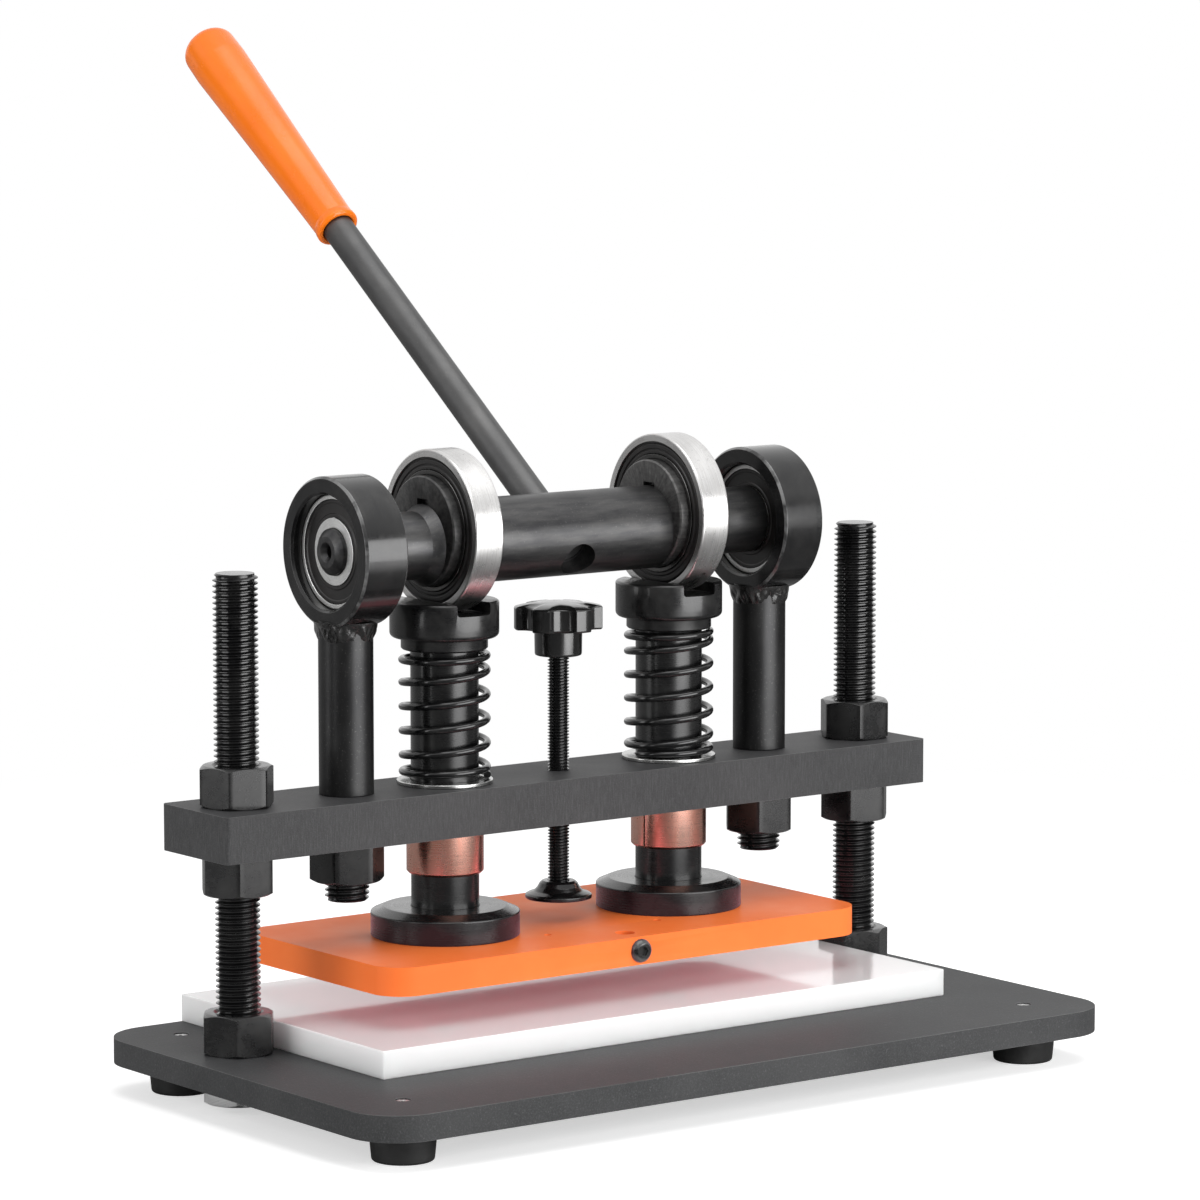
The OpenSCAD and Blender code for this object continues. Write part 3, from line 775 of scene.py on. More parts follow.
@dataclass(frozen=True)
class OiledBlack:
    """Oiled black oxide on turned or milled steel."""
    name: str = "oiled_black"
    axis: Axis = Axis.Z
    centre: Triple = ROD_PLANE
    colour: Colour = (0.006, 0.006, 0.0065)
    worn: Colour = (0.020, 0.0198, 0.0195)
    rough: tuple[float, float] = (0.17, 0.30)
    lines: float = 1900.0
    relief: float = 1.0
    rim: float = 0.0
    edged: float = 0.0

    def build(self) -> bpy.types.Material:
        """The material, with a painted highlight where radius plus distance from the middle is past rim."""
        b = Bench(self.name, Metallic=0.35, Specular_IOR_Level=0.55, Coat_Weight=0.3, Coat_Roughness=0.10)
        radius, along, angle = b.polar(self.axis, self.centre)
        marks = b.noise(b.vector(b.times(radius, self.lines), b.times(along, self.lines),
                                 b.times(b.step("SINE", angle), 0.6)), 1.0, 3.0, 0.6)
        where = b.place()
        patch = b.noise(where, 60.0, 5.0, 0.62, 0.3)
        film = b.noise(where, 420.0, 3.0, 0.6)
        colour = b.blend(b.span(patch, 0.42, 0.72), self.colour, self.worn)
        colour = b.blend(b.span(marks, 0.55, 0.75, 0.0, 0.4), colour, self.worn)
        rough = b.plus(b.span(patch, 0.3, 0.7, *self.rough), b.span(marks, 0.3, 0.7, -0.03, 0.05))
        # painted highlight: a speckled light line where the rounding of the rim meets the faces
        if self.rim:
            reach = b.plus(radius, b.step("ABSOLUTE", along))
            edge = b.span(reach, (self.rim - 0.15) * MM, (self.rim + 0.15) * MM)
            edge = b.times(edge, b.span(patch, 0.40, 0.56, 0.15, 0.9))
            colour = b.blend(edge, colour, (0.42, 0.42, 0.42))
        # painted highlight: rounded edges, such as the nuts' chamfers, are coloured lighter
        if self.edged:
            colour = b.blend(b.times(b.slopes(), self.edged), colour, (0.16, 0.16, 0.16))
        normal = b.bump(film, 0.08 * self.relief, 0.08, b.bump(marks, 0.10 * self.relief, 0.03))
        return b.done(colour, rough, normal)


@dataclass(frozen=True)
class SatinSteel:
    """Dark satin steel, drawn lengthwise or faced round its axis."""
    name: str = "satin_steel"
    stretch: Triple = (45.0, 260.0, 260.0)
    shift: Triple = SHAFT_LINE
    dark: Colour = (0.050, 0.050, 0.052)
    light: Colour = (0.088, 0.087, 0.086)
    rough: tuple[float, float] = (0.32, 0.42)
    faced: float = 0.0

    def build(self) -> bpy.types.Material:
        """The material."""
        b = Bench(self.name, Metallic=0.9, Specular_IOR_Level=0.4)
        streak = b.noise(b.place(self.stretch, self.shift), 1.0, 4.0, 0.62)
        where = b.place()
        patch = b.noise(where, 38.0, 5.0, 0.62, 0.4)
        speck = b.noise(where, 900.0, 2.0, 0.6)
        if self.faced:
            radius, _, angle = b.polar(Axis.X, self.shift)
            rays = b.noise(b.wound(angle, self.faced, b.times(radius, 60.0)), 1.0, 4.0, 0.6)
            streak = b.times(b.plus(streak, rays), 0.5)
        colour = b.blend(b.span(streak, 0.34, 0.70), self.dark, self.light)
        colour = b.blend(b.span(patch, 0.5, 0.75, 0.0, 0.5), colour, self.dark)
        colour = b.blend(b.span(speck, 0.62, 0.76, 0.0, 0.4), colour, (0.17, 0.165, 0.16))
        rough = b.plus(b.span(patch, 0.3, 0.7, *self.rough), b.span(streak, 0.35, 0.65, -0.03, 0.03))
        return b.done(colour, rough, b.bump(speck, 0.07, 0.05, b.bump(streak, 0.06, 0.03)))


@dataclass(frozen=True)
class GroundSteel:
    """Bright ground steel with rings of grinding marks round an axis."""
    name: str = "ground_steel"
    axis: Axis = Axis.X
    centre: Triple = SHAFT_LINE
    colour: Colour = (0.76, 0.755, 0.75)
    dark: Colour = (0.52, 0.51, 0.50)
    rough: tuple[float, float] = (0.12, 0.24)
    lines: float = 2600.0

    def build(self) -> bpy.types.Material:
        """The material."""
        b = Bench(self.name, Metallic=1.0, Anisotropic=0.3)
        radius, along, angle = b.polar(self.axis, self.centre)
        rise = b.plus(b.times(along, self.lines), b.times(radius, self.lines))
        marks = b.noise(b.wound(angle, 1.4, rise), 1.0, 4.0, 0.65)
        where = b.place()
        stain = b.noise(where, 75.0, 5.0, 0.65, 0.6)
        dots = b.noise(where, 800.0, 2.0, 0.55)
        colour = b.blend(b.span(marks, 0.35, 0.7), self.colour, self.dark)
        colour = b.blend(b.span(stain, 0.55, 0.78, 0.0, 0.5), colour, self.dark)
        colour = b.blend(b.span(dots, 0.64, 0.76, 0.0, 0.55), colour, (0.16, 0.155, 0.15))
        rough = b.plus(b.span(stain, 0.3, 0.7, *self.rough), b.span(marks, 0.3, 0.7, -0.04, 0.06))
        return b.done(colour, rough, b.bump(marks, 0.10, 0.02, b.bump(dots, 0.05, 0.04)))


@dataclass(frozen=True)
class TurnedCopper:
    """Copper-coloured guide bush with fine turning marks."""
    name: str = "turned_copper"
    centre: Triple = ROD_PLANE

    def build(self) -> bpy.types.Material:
        """The material."""
        b = Bench(self.name, Metallic=1.0)
        _, along, angle = b.polar(Axis.Z, self.centre)
        marks = b.noise(b.wound(angle, 1.0, b.times(along, 1500.0)), 1.0, 4.0, 0.6)
        smear = b.noise(b.place((90, 90, 26)), 1.0, 4.0, 0.65, 0.5)
        colour = b.blend(b.span(smear, 0.35, 0.68), (0.98, 0.57, 0.46), (0.80, 0.36, 0.27))
        colour = b.blend(b.span(marks, 0.56, 0.74, 0.0, 0.5), colour, (0.30, 0.13, 0.09))
        rough = b.plus(b.span(smear, 0.3, 0.7, 0.20, 0.32), b.span(marks, 0.3, 0.7, -0.03, 0.05))
        return b.done(colour, rough, b.bump(marks, 0.16, 0.03))


@dataclass(frozen=True)
class OrangePaint:
    """Satin orange coating of the platen, with a pinker colour painted into its reflections and the light it
    bounces onto its neighbours.
    """
    name: str = "orange_paint"
    colour: Colour = (0.92, 0.202, 0.044)
    deep: Colour = (0.90, 0.180, 0.037)

    def build(self) -> bpy.types.Material:
        """The material."""
        b = Bench(self.name, Specular_IOR_Level=0.15, IOR=1.45)
        where = b.place()
        flow = b.noise(where, 22.0, 4.0, 0.55)
        peel = b.noise(where, 430.0, 2.0, 0.5)
        dust = b.cells(where, 190.0)
        colour = b.blend(b.span(flow, 0.35, 0.65), self.colour, self.deep)
        colour = b.blend(b.span(dust, 0.0, 0.045, 0.35, 0.0), colour, (0.90, 0.30, 0.12))
        # painted reflection: every ray but the camera's sees a pink colour instead of the orange
        seen = b.add("ShaderNodeLightPath").outputs["Is Camera Ray"]
        colour = b.blend(seen, (0.98, 0.34, 0.38), colour)
        rough = b.span(flow, 0.3, 0.7, 0.38, 0.50)
        return b.done(colour, rough, b.bump(peel, 0.14, 0.12))


@dataclass(frozen=True)
class DippedGrip:
    """Glossy orange plastic of the lever's grip."""
    name: str = "dipped_grip"
    colour: Colour = (0.95, 0.195, 0.006)
    deep: Colour = (0.93, 0.175, 0.004)

    def build(self) -> bpy.types.Material:
        """The material."""
        b = Bench(self.name, Specular_IOR_Level=0.40, Coat_Weight=0.14, Coat_Roughness=0.08)
        where = b.place()
        flow = b.noise(where, 26.0, 3.0, 0.5)
        wave = b.noise(where, 95.0, 2.0, 0.5)
        rub = b.noise(b.place((160, 60, 60)), 1.0, 5.0, 0.7)
        colour = b.blend(b.span(flow, 0.35, 0.65), self.colour, self.deep)
        rough = b.plus(b.span(flow, 0.3, 0.7, 0.20, 0.28), b.span(rub, 0.5, 0.8, 0.0, 0.12))
        return b.done(colour, rough, b.bump(wave, 0.10, 0.35))


@dataclass(frozen=True)
class PolishedBoard:
    """Glossy white plastic of the cutting board, with faint knife marks."""
    name: str = "polished_board"
    colour: Colour = (0.94, 0.937, 0.944)

    def build(self) -> bpy.types.Material:
        """The material."""
        b = Bench(self.name, Specular_IOR_Level=0.5, IOR=1.5, Coat_Weight=0.4, Coat_Roughness=0.04,
                  Subsurface_Weight=0.7, Subsurface_Radius=(1.0, 0.93, 0.96), Subsurface_Scale=0.03)
        where = b.place()
        cloud = b.noise(where, 9.0, 3.0, 0.5)
        cuts = b.noise(b.place((900, 14, 20)), 1.0, 3.0, 0.6, 0.2)
        orange_peel = b.noise(where, 120.0, 2.0, 0.5)
        colour = b.blend(b.span(cloud, 0.3, 0.7), self.colour, (0.92, 0.918, 0.924))
        rough = b.plus(b.span(cloud, 0.3, 0.7, 0.07, 0.13), b.span(cuts, 0.68, 0.8, 0.0, 0.12))
        return b.done(colour, rough, b.bump(orange_peel, 0.03, 0.2))


@dataclass(frozen=True)
class Moulded:
    """Moulded black rubber or plastic with a fine skin."""
    name: str
    colour: Colour
    light: Colour
    rough: tuple[float, float]
    skin: float = 0.12
    coat: float = 0.0

    def build(self) -> bpy.types.Material:
        """The material."""
        b = Bench(self.name, Specular_IOR_Level=0.5, Coat_Weight=self.coat, Coat_Roughness=0.06)
        where = b.place()
        cloud = b.noise(where, 55.0, 4.0, 0.6)
        skin = b.noise(where, 700.0, 2.0, 0.55)
        colour = b.blend(b.span(cloud, 0.35, 0.7), self.colour, self.light)
        return b.done(colour, b.span(cloud, 0.3, 0.7, *self.rough), b.bump(skin, self.skin, 0.1))


@dataclass(frozen=True)
class WeldSkin:
    """Dark, scaled surface of the weld beads."""
    name: str = "weld_skin"

    def build(self) -> bpy.types.Material:
        """The material."""
        b = Bench(self.name, Specular_IOR_Level=0.7, Coat_Weight=0.4, Coat_Roughness=0.15)
        where = b.place()
        scale = b.noise(where, 300.0, 5.0, 0.7, 0.8)
        colour = b.blend(b.span(scale, 0.4, 0.7), (0.004, 0.004, 0.004), (0.014, 0.013, 0.0125))
        return b.done(colour, b.span(scale, 0.3, 0.7, 0.08, 0.24), b.bump(scale, 0.5, 0.8))


@cache
def paint(finish: Finish) -> bpy.types.Material:
    """The finish's material, built on first use, so that pieces of one finish share it."""
    return finish.build()


def dress(piece: bpy.types.Object, finish: Finish, slot: str, body: str, *nodes: str) -> None:
    """Gives a piece its finish and its body, and hides the nodes it stands for.

    Args:
        piece: the object, named for its node with a last word for how it is made.
        finish: the finish.
        slot: the record's material slot; not used.
        body: the body it rides on.
        nodes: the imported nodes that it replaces, where its name doesn't say.
    """
    piece.data.materials.clear()
    piece.data.materials.append(paint(finish))
    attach(piece, body)
    own = piece.name.rpartition("_")[0]
    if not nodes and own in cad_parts:
        nodes = (own,)
    if nodes:
        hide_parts(*nodes)
    log.info("%s: %d faces, %s, rides on %s", piece.name, len(piece.data.polygons), finish.name, body)


def dress_node(node: str, finish: Finish) -> None:
    """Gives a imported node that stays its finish.

    Args:
        node: the node's name.
        finish: the finish.
    """
    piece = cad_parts[node]
    if not piece.material_slots:
        piece.data.materials.append(paint(finish))
    for held in piece.material_slots:
        held.material = paint(finish)
    log.info("%s keeps its packed shape, %s", node, finish.name)


SEAL_RUBBER = Moulded("seal_rubber", (0.007, 0.0065, 0.0065), (0.016, 0.014, 0.0135), (0.28, 0.42), 0.10)
FOOT_RUBBER = Moulded("foot_rubber", (0.012, 0.012, 0.012), (0.024, 0.024, 0.024), (0.42, 0.6), 0.25)
KNOB_PLASTIC = Moulded("knob_plastic", (0.008, 0.008, 0.008), (0.014, 0.014, 0.014), (0.13, 0.22), 0.05, 0.4)
THREAD_BLACK = OiledBlack("thread_black", rough=(0.16, 0.24), lines=900.0, relief=0.25)
NUT_BLACK = OiledBlack("nut_black", rough=(0.22, 0.34), lines=500.0, relief=0.6, edged=0.35)
SPRING_BLACK = OiledBlack("spring_black", rough=(0.14, 0.24), lines=300.0)
BASE_COAT = PowderCoat("base_coat", (0.036, 0.037, 0.038), (0.052, 0.0525, 0.0535), 1100.0, 0.12, 0.22)
NUT_ZINC = GroundSteel("nut_zinc", Axis.Z, ROD_PLANE, (0.92, 0.92, 0.92), (0.72, 0.72, 0.72),
                       (0.3, 0.42), 700.0)
SCREW_STEEL = GroundSteel("screw_steel", Axis.Z, ROD_PLANE, (0.74, 0.74, 0.73), (0.34, 0.34, 0.34),
                          (0.2, 0.35))
WASHER_STEEL = GroundSteel("washer_steel", Axis.Z, ROD_PLANE, (0.62, 0.62, 0.61), (0.4, 0.4, 0.39),
                           (0.16, 0.28))
BALL_STEEL = GroundSteel("ball_steel")
POST_STEEL = SatinSteel("post_steel", (60, 60, 24), ROD_PLANE, (0.034, 0.034, 0.035),
                        (0.052, 0.052, 0.052), (0.34, 0.42))
BAR_STEEL = SatinSteel("bar_steel", (60, 22, 22), SHAFT_LINE, (0.082, 0.082, 0.083),
                       (0.118, 0.117, 0.116), (0.40, 0.5))


# ---------------------------------------------------------------- sub-assemblies

@dataclass
class Stand:
    """Base plate with its feet, the two threaded rods and the nuts that hold them."""
    foot_radius: float = 17.4
    foot_height: float = 17.0
    foot_x: float = 209.0
    foot_front: float = -236.0
    foot_back: float = -27.0
    rod_low: float = 4.0
    rod_high: float = 286.5
    rod_chamfer: float = 1.8
    base_top: float = 31.0
    under_nut_low: float = 4.5
    under_nut_height: float = 12.5
    left_turn: float = 234.0
    right_turn: float = 215.0

    def plate(self) -> None:
        """The rounded base plate and the bright screws of its feet."""
        dress(refined("base_plate_coated", "base_plate", 0.9), BASE_COAT, "graphite_paint", "stand")
        screws = refined("foot_screw_heads", "foot_screws", 0.3)
        dress(screws, SCREW_STEEL, "bright_steel", "stand", "foot_screws")

    def feet(self) -> None:
        """Four tapered rubber feet."""
        r, h = self.foot_radius, self.foot_height
        shape = [(0, 0.6), (4.2, 0.6), (5.0, 0.0, 0.4), (r - 1.2, 0.0, 1.4), (r - 0.3, h * 0.55, 4.0),
                 (r, h - 1.6, 0.6), (r - 0.6, h, 0.4), (0, h)]
        spots = [(side.value * self.foot_x, y) for side in Side for y in (self.foot_front, self.foot_back)]
        parts = [turned("foot", shape, seat(x, y, 0), False, 72) for x, y in spots]
        dress(join_meshes("feet_moulded", parts), FOOT_RUBBER, "rubber", "stand", "rubber_feet")

    def rods(self) -> None:
        """Both threaded rods and their nuts at the base."""
        for side, turn in ((Side.LEFT, self.left_turn), (Side.RIGHT, self.right_turn)):
            x = side.value * ROD_X
            rod = threaded(f"rod_{side.word}_threaded", THREAD_RADIUS, THREAD_PITCH, self.rod_low,
                           self.rod_high, seat(x, ROD_Y, 0), self.rod_chamfer)
            dress(rod, THREAD_BLACK, "black_oxide", "stand")
            nut = hex_nut(f"base_nut_{side.word}_chamfered", x, self.base_top, turn)
            dress(nut, NUT_BLACK, "black_oxide", "stand")
        parts = [hex_nut("under_nut", side.value * ROD_X, self.under_nut_low, self.left_turn,
                         self.under_nut_height) for side in Side]
        dress(join_meshes("under_nuts_zinc", parts), NUT_ZINC, "bright_steel", "stand")

    def build(self) -> None:
        """Builds the whole stand."""
        self.plate()
        self.feet()
        self.rods()


@dataclass
class CuttingBoard:
    """White board that lies on the base."""
    edge: float = 0.7

    def build(self) -> None:
        """The board with broken edges."""
        board = refined("board_polished", "cutting_board", self.edge, 3)
        dress(board, PolishedBoard(), "white_board", "board", "cutting_board")


@dataclass
class Crossbeam:
    """Beam with its nuts, the two posts, their studs and welds, and the guide bushes."""
    low: float = 138.0
    high: float = 163.0
    post_radius: float = 14.75
    post_top: float = 256.6
    stud_low: float = 105.5
    stud_chamfer: float = 1.6
    stud_reach: float = 0.3
    washer_radius: float = 26.2
    washer_bore: float = 19.0
    washer_height: float = 2.3
    bead_low: float = 245.2
    bead_high: float = 256.2

    def beam(self) -> None:
        """The beam with broken edges."""
        dress(refined("crossbeam_coated", "crossbeam", 0.8), PowderCoat(), "graphite_paint", "carriage")

    def nuts(self) -> None:
        """Nuts over and under the beam on the rods, and under it on the studs."""
        under = self.low - NUT_HEIGHT
        spots = (("beam_nut_upper_left", -ROD_X, self.high, 225.0),
                 ("beam_nut_upper_right", ROD_X, self.high, 240.0),
                 ("beam_nut_lower_left", -ROD_X, under, 241.0),
                 ("beam_nut_lower_right", ROD_X, under, 225.6),
                 ("post_nut_left", -POST_X, under, 278.0),
                 ("post_nut_right", POST_X, under, 233.0))
        for node, x, low, turn in spots:
            dress(hex_nut(f"{node}_chamfered", x, low, turn), NUT_BLACK, "black_oxide", "carriage")

    def bead(self, side: Side) -> bpy.types.Object:
        """A rough weld round the top of a post.

        Args:
            side: the post's side.

        Returns:
            The bead.
        """
        rng = random.Random(11 + side.value)
        count, rows = 160, 15
        waves = [(n, rng.uniform(-m, m), rng.uniform(0, math.tau), size) for n, m, size in
                 ((3, 2, 0.45), (5, 4, 0.5), (8, 6, 0.45), (13, 9, 0.38), (21, 14, 0.26), (34, 20, 0.16))]

        def ring(k: int) -> Ring:
            """Level k of the bead's section.

            Args:
                k: the level, from 0 at the bottom.

            Returns:
                The ring.
            """
            t = k / (rows - 1)

            def spot(a: float) -> tuple[float, float]:
                """Radius and height in direction a.

                Args:
                    a: direction in radians.

                Returns:
                    Radius and height.
                """
                lump = sum(size * math.sin(n * a + m * t + start) for n, m, start, size in waves)
                sway = 0.5 * math.sin(4 * a + waves[0][2]) + 0.2 * math.sin(9 * a + waves[1][2])
                bulge = 0.25 + 2.7 * t ** 0.9 + 0.75 * lump * math.sin(math.pi * min(1.0, 0.12 + t)) ** 0.7
                return (self.post_radius - 0.3 + min(3.5, max(0.0, bulge)),
                        self.bead_low + (1.0 + sway) * (1 - t) + (self.bead_high - self.bead_low) * t)
            return spot

        bm = bmesh.new()
        stacked(bm, [ring(k) for k in range(rows)], count, True)
        return finish_mesh(bm, f"weld_{side.word}", 60.0, seat(side.value * POST_X, ROD_Y, 0))

    def posts(self) -> None:
        """Posts, their threaded studs and the welds."""
        r = self.post_radius
        shape = [(0, self.high), (r, self.high, 0.5), (r, self.post_top), (0, self.post_top)]
        for side in Side:
            place = seat(side.value * POST_X, ROD_Y, 0)
            post = turned(f"post_{side.word}_drawn", shape, place, False)
            dress(post, POST_STEEL, "dark_steel", "carriage")
            stud = threaded(f"post_stud_{side.word}_threaded", THREAD_RADIUS, THREAD_PITCH, self.stud_low,
                            self.high + self.stud_reach, place, self.stud_chamfer)
            dress(stud, THREAD_BLACK, "black_oxide", "carriage")
        beads = join_meshes("weld_beads_rough", [self.bead(side) for side in Side])
        dress(beads, WeldSkin(), "dark_steel", "carriage")

    def bushes(self) -> None:
        """Split guide bushes and the washers over them."""
        for side in Side:
            copper = TurnedCopper(f"turned_copper_{side.word}", (side.value * LIFT_X, ROD_Y, 0))
            bush = refined(f"bush_{side.word}_turned", f"bush_{side.word}", 0.35)
            dress(bush, copper, "copper_bush", "carriage")
        bore, r, top = self.washer_bore, self.washer_radius, self.high + self.washer_height
        shape = [(bore, self.high), (r, self.high, 0.5), (r, top, 0.5), (bore, top, 0.3)]
        parts = [turned("washer", shape, seat(side.value * LIFT_X, ROD_Y, 0)) for side in Side]
        dress(join_meshes("spring_washers_turned", parts), WASHER_STEEL, "bright_steel", "carriage")

    def build(self) -> None:
        """Builds the beam and what is fixed to it."""
        self.beam()
        self.nuts()
        self.posts()
        self.bushes()


@dataclass
class EndBearing:
    """Bearing housing on a post with the ball bearing in it; part of it turns with the shaft."""
    side: Side
    radius: float = 40.5
    bore: float = 31.0
    width: float = 27.2
    bearing_middle: float = 140.1
    bearing_width: float = 16.0
    outer_in: float = 27.9
    inner_out: float = 18.3
    inner_in: float = 12.5
    seal_depth: float = 1.5

    def housing(self) -> None:
        """The ring welded to the post."""
        w, r, b = self.width / 2, self.radius, self.bore
        shape = [(b + 1.2, -w, 0.3), (r - 1.3, -w, 0.5), (r, -w + 1.3, 0.5), (r, w - 1.3, 0.5),
                 (r - 1.3, w, 0.5), (b + 1.2, w, 0.3), (b, w - 1.2, 0.3), (b, -w + 1.2, 0.3)]
        spot = (self.side.value * POST_X, ROD_Y, AXIS_Z)
        # rim paints a highlight along the housing's rounded edges
        black = OiledBlack(f"housing_black_{self.side.word}", Axis.X, spot, (0.007, 0.007, 0.0075),
                           (0.020, 0.0197, 0.0194), (0.15, 0.23), 1100.0, rim=r + w - 1.3)
        ring = turned(f"housing_{self.side.word}_turned", shape, seat(*spot, Axis.X), steps=128)
        dress(ring, black, "black_oxide", "carriage")

    def outer(self) -> None:
        """The bearing's fixed ring."""
        w, o, i = self.bearing_width / 2, self.bore, self.outer_in
        shape = [(i, -w, 0.3), (o - 0.05, -w, 0.9), (o - 0.05, w, 0.9), (i, w, 0.3), (i + 0.5, w - 1.0, 0.2),
                 (i + 0.9, GROOVE, 0.5), (i + 0.9, -GROOVE, 0.5), (i + 0.5, -w + 1.0, 0.2)]
        ring = turned(f"end_ring_{self.side.word}_ground", shape, self.place, steps=128)
        dress(ring, self.steel, "bright_steel", "carriage")

    def inner(self) -> None:
        """The bearing's ring on the shaft."""
        w, o, i = self.bearing_width / 2, self.inner_out, self.inner_in
        shape = [(i, -w, 0.6), (o, -w, 0.3), (o - 0.4, -w + 1.0, 0.2), (o - 0.8, -GROOVE, 0.5),
                 (o - 0.8, GROOVE, 0.5), (o - 0.4, w - 1.0, 0.2), (o, w, 0.3), (i, w, 0.6)]
        ring = turned(f"end_inner_{self.side.word}_ground", shape, self.place)
        dress(ring, self.steel, "bright_steel", "crank")

    def seals(self) -> list[bpy.types.Object]:
        """Both pressed seals, with a stiffening groove.

        Returns:
            Both seals.
        """
        a, b = self.outer_in + 0.35, self.inner_out + 0.15
        shape = [(b, 0.0, 0.1), (b, 1.0, 0.2), (b + 1.6, 1.0, 0.3), (b + 2.2, 0.55, 0.3),
                 (a - 2.4, 0.55, 0.3), (a - 1.8, 0.95, 0.3), (a - 0.5, 0.95, 0.2), (a, 0.5, 0.2),
                 (a, 0.0, 0.1)]
        return sealed(shape, self.bearing_width / 2 - self.seal_depth, self.place, 96)

    @property
    def place(self) -> Matrix:
        """Seat of the bearing."""
        return seat(self.side.value * self.bearing_middle, ROD_Y, AXIS_Z, Axis.X)

    @property
    def steel(self) -> GroundSteel:
        """Finish of the bearing's rings."""
        return GroundSteel(f"end_steel_{self.side.word}", Axis.X, SHAFT_LINE, (0.80, 0.80, 0.79),
                           (0.60, 0.60, 0.59), (0.32, 0.44))

    def build(self) -> None:
        """Builds the housing and both rings."""
        self.housing()
        self.outer()
        self.inner()


@dataclass
class Crank:
    """Lever, shaft, eccentrics, keys and the rollers' inner rings."""
    lever_angle: float = 36.6
    bar_radius: float = 9.0
    bar_end: float = 424.5
    bar_in: float = 12.0
    grip_start: float = 264.5
    grip_length: float = 174.0
    mouth_radius: float = 12.2
    end_radius: float = 16.6
    disc_radius: float = 30.0
    ring_radius: float = 33.0

    @property
    def lever(self) -> Matrix:
        """Seat of the lever, its own Z pointing to the grip."""
        return seat(0, ROD_Y, AXIS_Z, Axis.Z, self.lever_angle - 90)

    def shaft(self) -> None:
        """Shaft, eccentrics and keys."""
        shaft = refined("main_shaft_drawn", "main_shaft", 0.6, least=24.0)
        dress(shaft, SatinSteel("shaft_steel"), "dark_steel", "crank")
        # painted light and shade: the right disc gets a lighter steel tone than the left for the light that
        # falls on it
        lit_and_shaded_tones = {Side.LEFT: ((0.040, 0.040, 0.041), (0.145, 0.143, 0.141), 5.0),
                 Side.RIGHT: ((0.068, 0.067, 0.067), (0.200, 0.197, 0.194), 26.0)}
        for side, (dark, light, faced) in lit_and_shaded_tones.items():
            centre = (side.value * LIFT_X, ROLLER_Y, ROLLER_Z)
            steel = SatinSteel(f"disc_steel_{side.word}", (400, 400, 400), centre, dark, light,
                               (0.34, 0.46), faced)
            disc = refined(f"eccentric_{side.word}_faced", f"eccentric_{side.word}", 0.55)
            dress(disc, steel, "dark_steel", "crank")
        dress(refined("shaft_keys_cut", "shaft_keys", 0.4), NUT_BLACK, "black_oxide", "crank")

    def inner_rings(self) -> None:
        """The rollers' inner rings on the eccentrics."""
        w, d, r = ROLLER_WIDTH / 2, self.disc_radius, self.ring_radius
        shape = [(d, -w, 0.7), (r, -w, 0.3), (r - 0.4, -w + 1.0, 0.2), (r - 0.8, -GROOVE, 0.5),
                 (r - 0.8, GROOVE, 0.5), (r - 0.4, w - 1.0, 0.2), (r, w, 0.3), (d, w, 0.7)]
        for side in Side:
            # painted shade: these rings get a steel far darker than the other ground rings, for the shade
            # they sit in
            steel = GroundSteel(f"inner_steel_{side.word}", Axis.X, ROLLER_LINE, (0.15, 0.148, 0.146),
                                (0.07, 0.068, 0.067), (0.2, 0.32))
            place = seat(side.value * LIFT_X, ROLLER_Y, ROLLER_Z, Axis.X)
            ring = turned(f"roller_inner_{side.word}_ground", shape, place, steps=128)
            dress(ring, steel, "bright_steel", "crank")

    def bar(self) -> None:
        """The lever's bar."""
        r, start, end = self.bar_radius, -self.bar_in, self.bar_end
        shape = [(0, start), (r, start, 0.8), (r, 60.0), (r, 160.0), (r, end, 0.8), (0, end)]
        dress(turned("handle_bar_drawn", shape, self.lever, False, 64), BAR_STEEL, "dark_steel", "crank")

    def grip(self) -> None:
        """The dipped grip with a rolled lip at its mouth."""
        a, n, m, e = self.grip_start, self.grip_length, self.mouth_radius, self.end_radius
        shape = [(9.05, a + 20.0), (9.05, a + 1.2, 0.6), (9.9, a, 0.8), (m - 0.7, a, 1.1),
                 (m + 0.65, a + 1.3, 1.0), (m + 0.45, a + 4.0, 1.4), (m, a + 6.0, 3.0),
                 (m + 0.35, a + 22.0, 20.0), (m + (e - m) * 0.5, a + n * 0.5), (e - 0.1, a + n - 22.0, 10.0),
                 (e - 0.7, a + n - 0.5, 9.3), (0, a + n - 0.5)]
        piece = turned("handle_grip_dipped", shape, self.lever, False, 96, 8, 40.0)
        dress(piece, DippedGrip(), "orange_grip", "crank")

    def build(self) -> None:
        """Builds everything that turns with the lever, save the end rings."""
        self.shaft()
        self.inner_rings()
        self.bar()
        self.grip()


